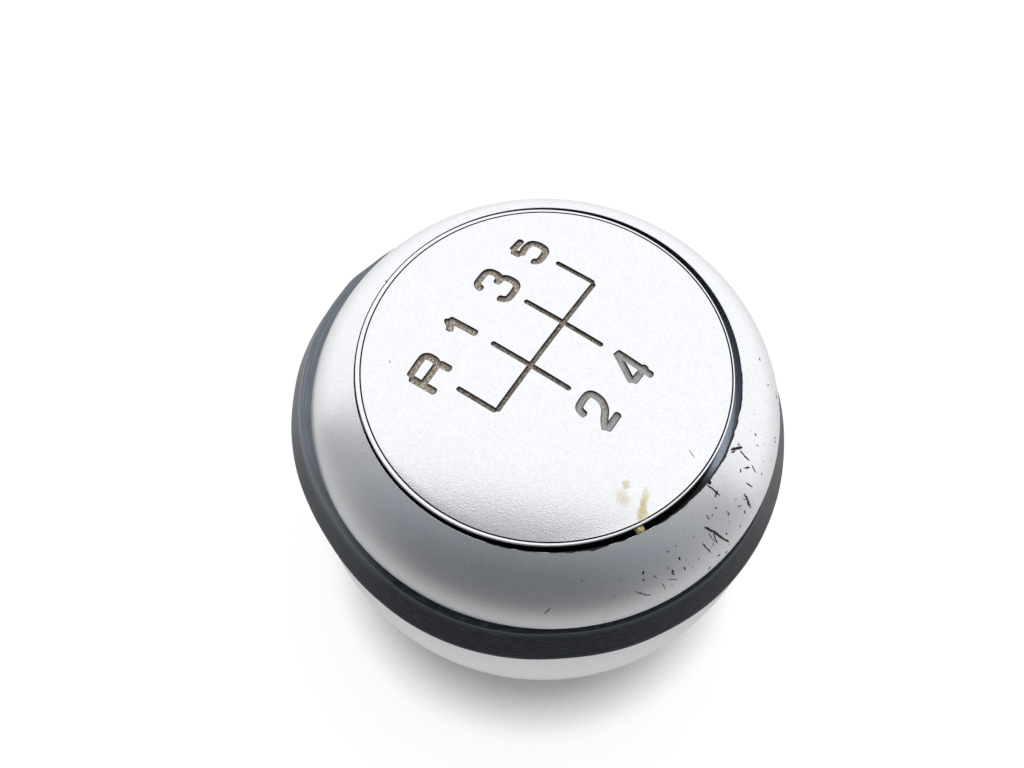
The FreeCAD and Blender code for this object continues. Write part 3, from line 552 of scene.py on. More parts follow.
def yellowed_glue(finish):
    """Aged clear glue: a yellow film, half clear and cloudy, that thins out to its edges. It is given some of the
    shine of the silver paint that shows through it."""
    material, tree, coords = start_material("yellowed_glue")
    clouds, gloss = cloudy_gloss(tree, coords, millimetres=0.7, detail=3.0, roughness=(0.2, 0.5))
    shade = add_node(tree, "ShaderNodeMix", {
        0: clouds, 6: opaque(finish.glue), 7: opaque(finish.glue_thin)}, data_type="RGBA")
    cover = add_node(tree, "ShaderNodeMapRange", {
        "Value": clouds, "From Min": 0.3, "From Max": 0.7, "To Min": 0.75, "To Max": 0.35})
    body = add_node(tree, "ShaderNodeAttribute", attribute_name="body").outputs["Fac"]
    film = add_node(tree, "ShaderNodeMath", {
        0: cover.outputs["Result"], 1: body, 2: cover.outputs["Result"]}, operation="MULTIPLY_ADD", use_clamp=True)
    finish_material(tree, {
        "Base Color": shade.outputs[2], "Metallic": 0.7, "Roughness": gloss, "Alpha": film.outputs[0]})
    return material


def moulded_nylon(finish):
    """Glass-filled nylon: dull black with a faint mottle of fibres."""
    material, tree, coords = start_material("glass_filled_nylon")
    fibres, gloss = cloudy_gloss(tree, coords, millimetres=0.5, detail=5.0, roughness=(0.45, 0.7))
    shade = add_node(tree, "ShaderNodeMix", {
        0: fibres, 6: opaque(finish.nylon), 7: opaque(finish.rubber_dust_and_highlight)}, data_type="RGBA")
    finish_material(tree, {"Base Color": shade.outputs[2], "Roughness": gloss})
    return material


def lathe_turned_steel(finish):
    """Turned steel: bright metal with fine tool rings stacked along the bore."""
    material, tree, coords = start_material("lathe_turned_steel")
    rings = add_node(tree, "ShaderNodeMapping", {"Vector": coords, "Scale": (per(30.0), per(30.0), per(0.25))})
    tool = add_node(tree, "ShaderNodeTexNoise", {"Vector": rings.outputs["Vector"], "Scale": 1.0, "Detail": 3.0})
    roughness = add_node(tree, "ShaderNodeMapRange", {"Value": tool.outputs["Fac"], "To Min": 0.22, "To Max": 0.42})
    bump = add_node(tree, "ShaderNodeBump", {"Height": tool.outputs["Fac"], "Strength": 0.3, "Distance": mm(0.03)})
    finish_material(tree, {
        "Base Color": opaque(finish.steel), "Metallic": 1.0, "Roughness": roughness.outputs["Result"],
        "Normal": bump.outputs["Normal"]})
    return material


def zinc_plating(finish):
    """Bright zinc plating on steel: pale metal with cloudy grains."""
    material, tree, coords = start_material("bright_zinc_plating")
    _, gloss = cloudy_gloss(tree, coords, millimetres=0.6, detail=3.0, roughness=(0.25, 0.45))
    finish_material(tree, {"Base Color": opaque(finish.zinc), "Metallic": 1.0, "Roughness": gloss})
    return material


def rays_and_eye(tree):
    """What kind of ray asks, and whether it comes from the eye, straight or through something clear."""
    rays = add_node(tree, "ShaderNodeLightPath").outputs
    for_eye = add_node(tree, "ShaderNodeMath", {
        0: rays["Is Camera Ray"], 1: rays["Is Transmission Ray"]}, operation="MAXIMUM")
    return rays, for_eye.outputs[0]


def towards(tree, way, near):
    """How far a direction points to the camera's side of the room."""
    return add_node(tree, "ShaderNodeVectorMath", {0: way, 1: near}, operation="DOT_PRODUCT").outputs["Value"]


def seen_in_paint(tree, nearness, stage):
    """How bright the room looks in a sheen: white on the far side, a step down overhead, dark by the camera."""
    overhead = add_node(tree, "ShaderNodeMapRange", {
        "Value": nearness, "From Min": -0.05, "From Max": 0.015, "To Min": stage.room_bright,
        "To Max": stage.room_middle}, interpolation_type="SMOOTHSTEP")
    return add_node(tree, "ShaderNodeMapRange", {
        "Value": nearness, "From Min": 0.3, "From Max": 0.85, "To Min": overhead.outputs["Result"],
        "To Max": stage.room_dark}).outputs["Result"]


def white_table(stage, near):
    """Matt white laminate: takes the knob's shadow, lifted to white for the eye by a glow that ambient occlusion dims
    near the knob as a painted contact shadow, dim far out on the camera's side.
    """
    material, tree, coords = start_material("white_laminate_table")
    material.cycles.emission_sampling = "NONE"
    # Ambient occlusion dims the floor's glow near the knob: a painted contact shadow, for the eye and in the paint.
    shadow = add_node(tree, "ShaderNodeAmbientOcclusion", {"Distance": mm(16)}, samples=16)
    open_floor = add_node(tree, "ShaderNodeMapRange", {
        "Value": shadow.outputs["AO"], "From Min": 0.64, "From Max": 0.92}).outputs["Result"]
    rays, for_eye = rays_and_eye(tree)
    reach = add_node(tree, "ShaderNodeVectorMath", {0: coords}, operation="LENGTH")
    far_lift = add_node(tree, "ShaderNodeMapRange", {
        "Value": reach.outputs["Value"], "From Min": mm(120), "From Max": mm(400), "To Min": stage.floor_lift})
    white = add_node(tree, "ShaderNodeMath", {0: for_eye, 1: far_lift.outputs["Result"]}, operation="MULTIPLY")
    lift = add_node(tree, "ShaderNodeMath", {0: white.outputs[0], 1: open_floor}, operation="MULTIPLY")
    matt = add_node(tree, "ShaderNodeBsdfDiffuse", {"Color": opaque(stage.floor)})
    glow = add_node(tree, "ShaderNodeEmission", {"Strength": lift.outputs[0]})
    to_eye = add_node(tree, "ShaderNodeAddShader", {0: matt.outputs[0], 1: glow.outputs[0]})
    outward = add_node(tree, "ShaderNodeVectorMath", {0: coords}, operation="NORMALIZE")
    closeness = add_node(tree, "ShaderNodeMapRange", {
        "Value": reach.outputs["Value"], "From Min": mm(180), "From Max": mm(40)})
    sheen = add_node(tree, "ShaderNodeMix", {
        0: closeness.outputs["Result"], 3: stage.floor_sheen,
        2: seen_in_paint(tree, towards(tree, outward.outputs["Vector"], near), stage)})
    shaded = add_node(tree, "ShaderNodeMath", {0: sheen.outputs[0], 1: open_floor}, operation="MULTIPLY")
    in_paint = add_node(tree, "ShaderNodeEmission", {"Strength": shaded.outputs[0]})
    surface = add_node(tree, "ShaderNodeMixShader", {
        0: rays["Is Glossy Ray"], 1: to_eye.outputs[0], 2: in_paint.outputs[0]})
    add_node(tree, "ShaderNodeOutputMaterial", {"Surface": surface.outputs[0]})
    return material


def room_light(stage, near):
    """White room: even light on matt surfaces, white to the eye, and a gradient in the paint's sheen."""
    world = bpy.data.worlds.new("white_room")
    world.use_nodes = True
    world.cycles.sampling_method = "NONE"
    tree = world.node_tree
    tree.nodes.clear()
    way = add_node(tree, "ShaderNodeTexCoord").outputs["Generated"]
    rays, for_eye = rays_and_eye(tree)
    plain = add_node(tree, "ShaderNodeMapRange", {"Value": for_eye, "To Min": stage.ambient, "To Max": 1.0})
    nearness = towards(tree, way, near)
    strength = add_node(tree, "ShaderNodeMix", {
        0: rays["Is Glossy Ray"], 2: plain.outputs["Result"], 3: seen_in_paint(tree, nearness, stage)})
    cool_share = add_node(tree, "ShaderNodeMapRange", {"Value": nearness, "From Min": 0.0, "From Max": 0.5})
    cool = add_node(tree, "ShaderNodeMath", {
        0: cool_share.outputs["Result"], 1: rays["Is Glossy Ray"]}, operation="MULTIPLY")
    tint = add_node(tree, "ShaderNodeMix", {
        0: cool.outputs[0], 6: opaque((1, 1, 1)), 7: opaque(stage.room_tint)}, data_type="RGBA")
    light = add_node(tree, "ShaderNodeBackground", {"Color": tint.outputs[2], "Strength": strength.outputs[0]})
    add_node(tree, "ShaderNodeOutputWorld", {"Surface": light.outputs["Background"]})
    return world


def arc_between(start, end, radius, steps):
    """Section points of an arc that bulges to the right on the way from start to end, without its last point."""
    first, last = Vector(start), Vector(end)
    chord = last - first
    side = Vector((chord.y, -chord.x)).normalized()
    centre = (first + last) / 2 - side * math.sqrt(radius ** 2 - (chord.length / 2) ** 2)
    begin = math.atan2(first.y - centre.y, first.x - centre.x)
    sweep = (math.atan2(last.y - centre.y, last.x - centre.x) - begin + math.pi) % TURN - math.pi
    return [(centre.x + radius * math.cos(begin + sweep * step / steps),
             centre.y + radius * math.sin(begin + sweep * step / steps)) for step in range(steps)]


def line_between(start, end, steps):
    """Section points of a straight run, without its last point."""
    return [tuple(Vector(start).lerp(Vector(end), step / steps)) for step in range(steps)]


def turned(runs, facets, shape):
    """Turn a closed section round an upright axis. Each run is a material index and its points of radius and level."""
    section = [(point, index) for index, points in runs for point in points]
    reach = [0.0]
    for (point, _), (after, _) in zip(section, section[1:] + section[:1]):
        reach.append(reach[-1] + math.dist(point, after))
    bm = bmesh.new()
    around = bm.loops.layers.uv.new("around")
    rings = []
    for (radius, level), _ in section:
        ring = []
        for step in range(facets):
            angle = TURN * step / facets
            out, up = shape(angle, radius, level)
            ring.append(bm.verts.new((out * math.cos(angle), out * math.sin(angle), up)))
        rings.append(ring)
    widest = max(point[0] for point, _ in section)
    for number, (_, index) in enumerate(section):
        low, high = rings[number], rings[(number + 1) % len(rings)]
        for step in range(facets):
            after = (step + 1) % facets
            face = bm.faces.new((low[step], low[after], high[after], high[step]))
            face.material_index = index
            face.smooth = True
            along = [step, step + 1, step + 1, step]
            across = [reach[number], reach[number], reach[number + 1], reach[number + 1]]
            for loop, u, v in zip(face.loops, along, across):
                loop[around].uv = (widest * TURN * u / facets, v)
    bmesh.ops.remove_doubles(bm, verts=bm.verts, dist=MERGE)
    bmesh.ops.recalc_face_normals(bm, faces=bm.faces)
    return bm


def put_in_scene(name, data):
    """A new object, at the origin."""
    obj = bpy.data.objects.new(name, data)
    bpy.context.scene.collection.objects.link(obj)
    return obj


def new_object(name, bm, materials, sharp_angle=CREASE):
    """A new object of this shape, which is used up."""
    mesh = bpy.data.meshes.new(name)
    bm.to_mesh(mesh)
    bm.free()
    for material in materials:
        mesh.materials.append(material)
    mesh.set_sharp_from_angle(angle=sharp_angle)
    return put_in_scene(name, mesh)


def stroke_object(name, groups, place):
    """Curve object of listed strokes. Each group is a stroke radius and its strokes; place gives a point's spot."""
    curve = bpy.data.curves.new(name, "CURVE")
    curve.dimensions = "3D"
    for radius, strokes in groups:
        for stroke in strokes:
            is_straight = len(stroke) == 2
            spline = curve.splines.new("POLY" if is_straight else "NURBS")
            spline.points.add(len(stroke) - 1)
            for point, spot in zip(spline.points, stroke):
                point.co = (*place(*spot), 1.0)
                point.radius = radius
            if not is_straight:
                spline.order_u = 3
                spline.use_endpoint_u = True
    return put_in_scene(name, curve)


def start_tree(name, sockets):
    """A geometry node tree with geometry in and out and the named inputs."""
    tree = bpy.data.node_groups.new(name, "GeometryNodeTree")
    tree.interface.new_socket("Geometry", in_out="OUTPUT", socket_type="NodeSocketGeometry")
    tree.interface.new_socket("Geometry", in_out="INPUT", socket_type="NodeSocketGeometry")
    for label, kind in sockets.items():
        tree.interface.new_socket(label, in_out="INPUT", socket_type=f"NodeSocket{kind}")
    return tree, add_node(tree, "NodeGroupInput").outputs


def finish_tree(tree, geometry, material, selection=True):
    """End a tree in real geometry with its material."""
    real = add_node(tree, "GeometryNodeRealizeInstances", {"Geometry": geometry})
    dressed = add_node(tree, "GeometryNodeSetMaterial", {
        "Geometry": real.outputs["Geometry"], "Selection": selection, "Material": material})
    add_node(tree, "NodeGroupOutput", {"Geometry": dressed.outputs["Geometry"]})


def run_tree(obj, tree, values):
    """Run a tree on an object with these inputs and keep the result as a plain mesh."""
    modifier = obj.modifiers.new(tree.name, "NODES")
    modifier.node_group = tree
    for item in tree.interface.items_tree:
        if item.in_out == "INPUT" and item.name in values:
            modifier[item.identifier] = values[item.name]
    depsgraph = bpy.context.evaluated_depsgraph_get()
    mesh = bpy.data.meshes.new_from_object(
        obj.evaluated_get(depsgraph), preserve_all_data_layers=True, depsgraph=depsgraph)
    obj.modifiers.clear()
    if obj.type == "MESH":
        mesh.name = obj.data.name
        obj.data = mesh
    return mesh


def rounded_ends(tree, half_width):
    """Stroke radius that falls to nothing over the last half width of a stroke, which rounds its ends."""
    along = add_node(tree, "GeometryNodeSplineParameter").outputs["Length"]
    whole = add_node(tree, "GeometryNodeSplineLength").outputs["Length"]
    to_go = add_node(tree, "ShaderNodeMath", {0: whole, 1: along}, operation="SUBTRACT")
    nearest = add_node(tree, "ShaderNodeMath", {0: along, 1: to_go.outputs[0]}, operation="MINIMUM")
    share = add_node(
        tree, "ShaderNodeMath", {0: nearest.outputs[0], 1: half_width}, operation="DIVIDE", use_clamp=True)
    short = add_node(tree, "ShaderNodeMath", {0: 1.0, 1: share.outputs[0]}, operation="SUBTRACT")
    square = add_node(tree, "ShaderNodeMath", {0: short.outputs[0], 1: short.outputs[0]}, operation="MULTIPLY")
    left = add_node(tree, "ShaderNodeMath", {0: 1.0, 1: square.outputs[0]}, operation="SUBTRACT")
    height = add_node(tree, "ShaderNodeMath", {0: left.outputs[0]}, operation="SQRT")
    blunt = add_node(tree, "ShaderNodeMath", {0: height.outputs[0], 1: 0.08}, operation="MAXIMUM")
    own = add_node(tree, "GeometryNodeInputRadius").outputs["Radius"]
    return add_node(tree, "ShaderNodeMath", {0: blunt.outputs[0], 1: own}, operation="MULTIPLY").outputs[0]


def engraving_tree():
    """Strokes dropped on the cap's dome and cut into it as round-bottomed grooves."""
    tree, given = start_tree("engraved_strokes", {
        "Strokes": "Object", "Width": "Float", "Depth": "Float", "Dirt": "Material"})
    strokes = add_node(tree, "GeometryNodeObjectInfo", {"Object": given["Strokes"]}, transform_space="RELATIVE")
    spaced = add_node(
        tree, "GeometryNodeResampleCurve", {"Curve": strokes.outputs["Geometry"], "Length": mm(0.09)}, mode="LENGTH")
    here = add_node(tree, "GeometryNodeInputPosition").outputs["Position"]
    drop = add_node(tree, "GeometryNodeRaycast", {
        "Target Geometry": given["Geometry"], "Source Position": here, "Ray Direction": (0.0, 0.0, -1.0),
        "Ray Length": mm(20)})
    laid = add_node(tree, "GeometryNodeSetPosition", {
        "Geometry": spaced.outputs["Curve"], "Position": drop.outputs["Hit Position"]})
    half = add_node(tree, "ShaderNodeMath", {0: given["Width"], 1: 0.5}, operation="MULTIPLY").outputs[0]
    upright = add_node(tree, "GeometryNodeSetCurveNormal", {"Curve": laid.outputs["Geometry"]}, mode="Z_UP")
    groove_size = add_node(tree, "ShaderNodeCombineXYZ", {"X": half, "Y": given["Depth"], "Z": 1.0})
    ring = add_node(tree, "GeometryNodeCurvePrimitiveCircle", {"Resolution": 16, "Radius": 1.0})
    groove = add_node(tree, "GeometryNodeTransform", {
        "Geometry": ring.outputs["Curve"], "Scale": groove_size.outputs["Vector"]})
    cutter = add_node(tree, "GeometryNodeCurveToMesh", {
        "Curve": upright.outputs["Curve"], "Profile Curve": groove.outputs["Geometry"],
        "Scale": rounded_ends(tree, half), "Fill Caps": True})
    marked = add_node(tree, "GeometryNodeStoreNamedAttribute", {
        "Geometry": cutter.outputs["Mesh"], "Name": "engraved", "Value": True}, data_type="BOOLEAN", domain="FACE")
    cut = add_node(tree, "GeometryNodeMeshBoolean", {
        "Mesh 1": given["Geometry"], "Mesh 2": marked.outputs["Geometry"], "Self Intersection": True},
        operation="DIFFERENCE", solver="EXACT")
    engraved = add_node(tree, "GeometryNodeInputNamedAttribute", {"Name": "engraved"}, data_type="BOOLEAN")
    below = add_node(tree, "GeometryNodeProximity", {"Geometry": given["Geometry"]}, target_element="FACES")
    hollow = add_node(tree, "ShaderNodeMath", {0: below.outputs["Distance"], 1: given["Depth"]}, operation="DIVIDE")
    graded = add_node(tree, "GeometryNodeStoreNamedAttribute", {
        "Geometry": cut.outputs["Mesh"], "Name": "hollow", "Value": hollow.outputs[0]})
    finish_tree(tree, graded.outputs["Geometry"], given["Dirt"], engraved.outputs["Attribute"])
    return tree


def scratch_tree():
    """Flat ribbons along strokes, pressed on to a painted surface so that they read as scratches in it."""
    tree, given = start_tree("surface_scratches", {
        "Surface": "Object", "Width": "Float", "Proud": "Float", "Plastic": "Material"})
    surface = add_node(tree, "GeometryNodeObjectInfo", {"Object": given["Surface"]}, transform_space="RELATIVE")
    target = surface.outputs["Geometry"]
    spaced = add_node(
        tree, "GeometryNodeResampleCurve", {"Curve": given["Geometry"], "Length": mm(0.12)}, mode="LENGTH")
    sway = add_node(tree, "ShaderNodeTexNoise", {"Scale": per(0.4), "Detail": 2.0})
    centred = add_node(tree, "ShaderNodeVectorMath", {0: sway.outputs["Color"], 1: (-0.5, -0.5, -0.5)})
    aside = add_node(tree, "ShaderNodeVectorMath", {0: centred.outputs["Vector"], "Scale": mm(0.28)}, operation="SCALE")
    jagged = add_node(tree, "GeometryNodeSetPosition", {
        "Geometry": spaced.outputs["Curve"], "Offset": aside.outputs["Vector"]})
    upright = add_node(tree, "GeometryNodeSetCurveNormal", {"Curve": jagged.outputs["Geometry"]}, mode="Z_UP")
    torn = add_node(tree, "ShaderNodeTexNoise", {"Scale": per(0.22), "Detail": 2.0})
    ragged = add_node(tree, "ShaderNodeMapRange", {"Value": torn.outputs["Fac"], "To Min": 0.3, "To Max": 1.6})
    width = add_node(tree, "ShaderNodeMath", {
        0: rounded_ends(tree, mm(0.5)), 1: ragged.outputs["Result"]}, operation="MULTIPLY")
    edge = add_node(tree, "ShaderNodeMath", {0: given["Width"], 1: 0.5}, operation="MULTIPLY").outputs[0]
    back = add_node(tree, "ShaderNodeMath", {0: given["Width"], 1: -0.5}, operation="MULTIPLY").outputs[0]
    from_edge = add_node(tree, "ShaderNodeCombineXYZ", {"X": back}).outputs[0]
    to_edge = add_node(tree, "ShaderNodeCombineXYZ", {"X": edge}).outputs[0]
    blade = add_node(tree, "GeometryNodeCurvePrimitiveLine", {"Start": from_edge, "End": to_edge})
    ribbon = add_node(tree, "GeometryNodeCurveToMesh", {
        "Curve": upright.outputs["Curve"], "Profile Curve": blade.outputs["Curve"], "Scale": width.outputs[0]})
    nearest = add_node(tree, "GeometryNodeProximity", {"Geometry": target}, target_element="FACES")
    normal = add_node(tree, "GeometryNodeInputNormal").outputs["Normal"]
    faced = add_node(
        tree, "GeometryNodeSampleNearestSurface", {"Mesh": target, "Value": normal}, data_type="FLOAT_VECTOR")
    lift = add_node(tree, "ShaderNodeVectorMath", {
        0: faced.outputs["Value"], "Scale": given["Proud"]}, operation="SCALE")
    spot = add_node(tree, "ShaderNodeVectorMath", {0: nearest.outputs["Position"], 1: lift.outputs["Vector"]})
    pressed = add_node(tree, "GeometryNodeSetPosition", {
        "Geometry": ribbon.outputs["Mesh"], "Position": spot.outputs["Vector"]})
    finish_tree(tree, pressed.outputs["Geometry"], given["Plastic"])
    return tree


def chip_tree():
    """Small chips strewn over the shoulder, thickest on its worn side, each a ragged disc lying on the paint."""
    tree, given = start_tree("strewn_chips", {
        "Density": "Float", "Size": "Float", "Seed": "Int", "Foot": "Float", "Worn way": "Vector",
        "Plastic": "Material"})
    here = add_node(tree, "GeometryNodeInputPosition").outputs["Position"]
    level = add_node(tree, "ShaderNodeSeparateXYZ", {"Vector": here}).outputs["Z"]
    normal = add_node(tree, "GeometryNodeInputNormal").outputs["Normal"]
    slope = add_node(tree, "ShaderNodeSeparateXYZ", {"Vector": normal}).outputs["Z"]
    above = add_node(tree, "ShaderNodeMath", {0: level, 1: given["Foot"]}, operation="GREATER_THAN")
    leaning = add_node(tree, "ShaderNodeMath", {0: slope, 1: 0.2}, operation="GREATER_THAN")
    level_off = add_node(tree, "ShaderNodeMath", {0: slope, 1: 0.86}, operation="LESS_THAN")
    on_face = add_node(tree, "ShaderNodeMath", {0: above.outputs[0], 1: leaning.outputs[0]}, operation="MULTIPLY")
    on_shoulder = add_node(
        tree, "ShaderNodeMath", {0: on_face.outputs[0], 1: level_off.outputs[0]}, operation="MULTIPLY")
    side = add_node(tree, "ShaderNodeVectorMath", {0: normal, 1: given["Worn way"]}, operation="DOT_PRODUCT")
    worn = add_node(tree, "ShaderNodeMapRange", {
        "Value": side.outputs["Value"], "From Min": 0.45, "From Max": 0.8, "To Min": 0.02, "To Max": 1.0})
    share = add_node(
        tree, "ShaderNodeMath", {0: worn.outputs["Result"], 1: on_shoulder.outputs[0]}, operation="MULTIPLY")
    density = add_node(tree, "ShaderNodeMath", {0: share.outputs[0], 1: given["Density"]}, operation="MULTIPLY")
    points = add_node(tree, "GeometryNodeDistributePointsOnFaces", {
        "Mesh": given["Geometry"], "Density": density.outputs[0], "Seed": given["Seed"]}, distribute_method="RANDOM")
    disc = add_node(tree, "GeometryNodeMeshCircle", {"Vertices": 9, "Radius": 1.0}, fill_type="TRIANGLE_FAN")
    ragged = add_node(tree, "ShaderNodeTexNoise", {"Scale": 1.7, "Detail": 2.0})
    pull = add_node(tree, "ShaderNodeMapRange", {"Value": ragged.outputs["Fac"], "To Min": 0.3, "To Max": 1.5})
    flat = add_node(tree, "ShaderNodeVectorMath", {0: here, "Scale": pull.outputs["Result"]}, operation="SCALE")
    chip = add_node(tree, "GeometryNodeSetPosition", {
        "Geometry": disc.outputs["Mesh"], "Position": flat.outputs["Vector"], "Offset": (0.0, 0.0, 0.06)})
    spin = add_node(tree, "FunctionNodeRandomValue", {"Min": 0.0, "Max": TURN, "Seed": 3}, data_type="FLOAT")
    turn_by = add_node(tree, "ShaderNodeCombineXYZ", {"Z": spin.outputs[1]})
    turned_to = add_node(tree, "FunctionNodeRotateRotation", {
        "Rotation": points.outputs["Rotation"], "Rotate By": turn_by.outputs["Vector"]}, rotation_space="LOCAL")
    luck = add_node(tree, "FunctionNodeRandomValue", {2: 0.1, 3: 1.0, "Seed": 5}, data_type="FLOAT")
    rare = add_node(tree, "ShaderNodeMath", {0: luck.outputs[1], 1: 3.0}, operation="POWER")
    grown = add_node(tree, "ShaderNodeMapRange", {"Value": rare.outputs[0], "To Min": 0.25, "To Max": 1.6})
    size = add_node(tree, "ShaderNodeMath", {0: grown.outputs["Result"], 1: given["Size"]}, operation="MULTIPLY")
    stretch = add_node(tree, "ShaderNodeMath", {0: size.outputs[0], 1: 0.6}, operation="MULTIPLY")
    scale = add_node(tree, "ShaderNodeCombineXYZ", {
        "X": size.outputs[0], "Y": stretch.outputs[0], "Z": size.outputs[0]})
    strewn = add_node(tree, "GeometryNodeInstanceOnPoints", {
        "Points": points.outputs["Points"], "Instance": chip.outputs["Geometry"],
        "Rotation": turned_to.outputs["Rotation"], "Scale": scale.outputs["Vector"]})
    finish_tree(tree, strewn.outputs["Instances"], given["Plastic"])
    return tree


def keep_mesh(name, mesh, material):
    """A finished piece from a plain mesh."""
    if not mesh.materials:
        mesh.materials.append(material)
    return put_in_scene(name, mesh)


def ride_root(obj, slot, *replaced):
    """Fix a piece to the knob and hide the nodes it stands for. The slot for its finish is not used."""
    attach(obj, "root")
    if replaced:
        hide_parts(*replaced)


def dress_node(node, material):
    """Give a CAD node its finish."""
    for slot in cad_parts[node].material_slots:
        slot.material = material


class KNOB_OT_painted_shells(bpy.types.Operator):
    """Paint the lower and the upper shell"""

    bl_idname = "knob.painted_shells"
    bl_label = "Painted shells"

    def execute(self, context):
        scene = context.scene
        paint = silver_shell_paint(scene.knob_finish, scene.knob_shoulder)
        for node in ("lower_shell", "upper_shell"):
            dress_node(node, paint)
        return {"FINISHED"}


class KNOB_OT_inner_parts(bpy.types.Operator):
    """Dress the core, the lever sleeve, the screws and the glue under the cap"""

    bl_idname = "knob.inner_parts"
    bl_label = "Inner parts"

    def execute(self, context):
        finish = context.scene.knob_finish
        dress_node("core", moulded_nylon(finish))
        dress_node("lever_sleeve", lathe_turned_steel(finish))
        dress_node("assembly_screws", zinc_plating(finish))
        dress_node("cap_adhesive", yellowed_glue(finish))
        return {"FINISHED"}


def round_curve(marks, degrees):
    """Value at an angle on a smooth closed curve through marks of angle and value."""
    first = marks[0][0]
    place = (degrees - first) % 360 + first
    before = (marks[-1][0] - 360, marks[-1][1])
    after = [(angle + 360, value) for angle, value in marks[:2]]
    run = [before, *marks, *after]
    for (a, u), (b, v), (c, w), (d, x) in zip(run, run[1:], run[2:], run[3:]):
        if b <= place <= c:
            share = (place - b) / (c - b)
            start = v + share * (w - u) / (c - a) * (c - b)
            end = w + (share - 1) * (x - v) / (d - b) * (c - b)
            ease = share * share * (3 - 2 * share)
            return start + (end - start) * ease


class KNOB_OT_grip_band(bpy.types.Operator):
    """Mould the rubber grip band, worked loose on one side"""

    bl_idname = "knob.grip_band"
    bl_label = "Grip band"

    def execute(self, context):
        band = context.scene.knob_band
        low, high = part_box("grip_band")
        edge = high.x
        ledge_z = high.z - band.ledge_drop

        def loosened(angle, radius, level):
            if radius <= band.tuck_radius:
                return radius, level
            slip = mm(round_curve(BAND_EDGE, math.degrees(angle)))
            away = (angle - band.kink_angle + math.pi) % TURN - math.pi
            kink = band.kink * math.exp(-(away / band.kink_spread) ** 2)
            waver = band.waver * noise.noise(Vector((math.cos(angle), math.sin(angle), 0.3)) * 5)
            free = min(1.0, (radius - band.tuck_radius) / band.loose_width)
            return radius + free * (slip + kink + waver), level

        lower_edge = (edge, low.z + band.edge_round)
        ledge_edge = (band.ledge_radius, ledge_z - band.ledge_round)
        ledge_top = (band.ledge_radius - band.ledge_round, ledge_z)
        tuck = (band.tuck_radius, high.z)
        section = line_between((band.inside, low.z), (edge - band.edge_round, low.z), 6)
        section += arc_between((edge - band.edge_round, low.z), lower_edge, band.edge_round, 6)
        section += line_between(lower_edge, ledge_edge, 10)
        section += arc_between(ledge_edge, ledge_top, band.ledge_round, 6)
        section += line_between(ledge_top, tuck, 4)
        section += [tuck, (band.inside, high.z)]
        rubber = grip_rubber(context.scene.knob_finish, band, ledge_z - band.ledge_round / 3)
        ring = new_object("rubber_grip_band", turned([(0, section)], band.facets, loosened), [rubber])
        ride_root(ring, "black_rubber", "grip_band")
        return {"FINISHED"}


def add_pegs(mesh, cap, top, material_index):
    """Three locating pegs under the cap, let into its top."""
    bm = bmesh.new()
    bm.from_mesh(mesh)
    depth = top + cap.peg_root - cap.peg_z
    for step in range(3):
        angle = math.pi + TURN * step / 3
        middle = Matrix.Translation((
            cap.peg_circle * math.cos(angle), cap.peg_circle * math.sin(angle), cap.peg_z + depth / 2))
        peg = bmesh.ops.create_cone(
            bm, cap_ends=True, segments=24, radius1=cap.peg_radius, radius2=cap.peg_radius, depth=depth, matrix=middle)
        for face in {face for vert in peg["verts"] for face in vert.link_faces}:
            face.material_index = material_index
    bm.to_mesh(mesh)
    bm.free()


class KNOB_OT_pattern_cap(bpy.types.Operator):
    """Make the domed cap and engrave the gate and its marks"""

    bl_idname = "knob.pattern_cap"
    bl_label = "Pattern cap"

    def execute(self, context):
        cap = context.scene.knob_cap
        finish = context.scene.knob_finish
        dirt = packed_dirt(finish)
        materials = [silver_cap_paint(finish), dirt, bare_black_plastic(finish)]
        paint_index, dirt_index, bare_index = range(3)
        line_out = cap.radius - cap.line_inset
        dome_radius = line_out - cap.line_width
        skirt_in = cap.radius - cap.skirt
        under_z = cap.rim_z - cap.wall
        line_low = (line_out - cap.line_width / 2, cap.rim_z - cap.line_depth)
        dome_edge, dome_top = (dome_radius, cap.rim_z), (0.0, cap.rim_z + cap.dome)
        rim_side = (cap.radius, cap.rim_z - cap.edge_round)
        rim_top = (cap.radius - cap.edge_round, cap.rim_z)
        dome_arc = arc_over(dome_radius, cap.dome)
        under = arc_between((skirt_in, under_z), (0.0, under_z + cap.dome), arc_over(skirt_in, cap.dome), 12)
        runs = [
            (bare_index, line_between((skirt_in, cap.foot_z), (cap.radius, cap.foot_z), 2)),
            (bare_index, line_between((cap.radius, cap.foot_z), rim_side, 6)),
            (paint_index, arc_between(rim_side, rim_top, cap.edge_round, 8)),
            (paint_index, [rim_top]),
            (dirt_index, [(line_out, cap.rim_z), line_low]),
            (paint_index, arc_between(dome_edge, dome_top, dome_arc, 40)),
            (bare_index, [dome_top, (0.0, under_z + cap.dome)] + under[:0:-1] + [(skirt_in, under_z)]),
        ]

        def off_centre(angle, radius, level):
            on_line = dome_radius <= radius <= line_out
            return radius + on_line * cap.line_shift * math.cos(angle - cap.line_angle), level

        blank = new_object("engraved_pattern_cap", turned(runs, cap.facets, off_centre), materials)
        strokes = stroke_object(
            "strokes", ((1.0, GATE_LANES), (cap.mark_weight, UPPER_MARKS), (cap.mark_weight, LOWER_MARKS)),
            lambda x, y: (mm(x), mm(y), cap.rim_z + 2 * cap.dome))
        run_tree(blank, engraving_tree(), {
            "Strokes": strokes, "Width": cap.stroke_width, "Depth": cap.stroke_depth, "Dirt": dirt})
        bpy.data.objects.remove(strokes)
        add_pegs(blank.data, cap, under_z, bare_index)
        blank.data.transform(Matrix.Translation((cap.shift_x, cap.shift_y, 0.0)))
        blank.data.set_sharp_from_angle(angle=CREASE)
        ride_root(blank, "silver_cap_paint", "pattern_cap")
        return {"FINISHED"}


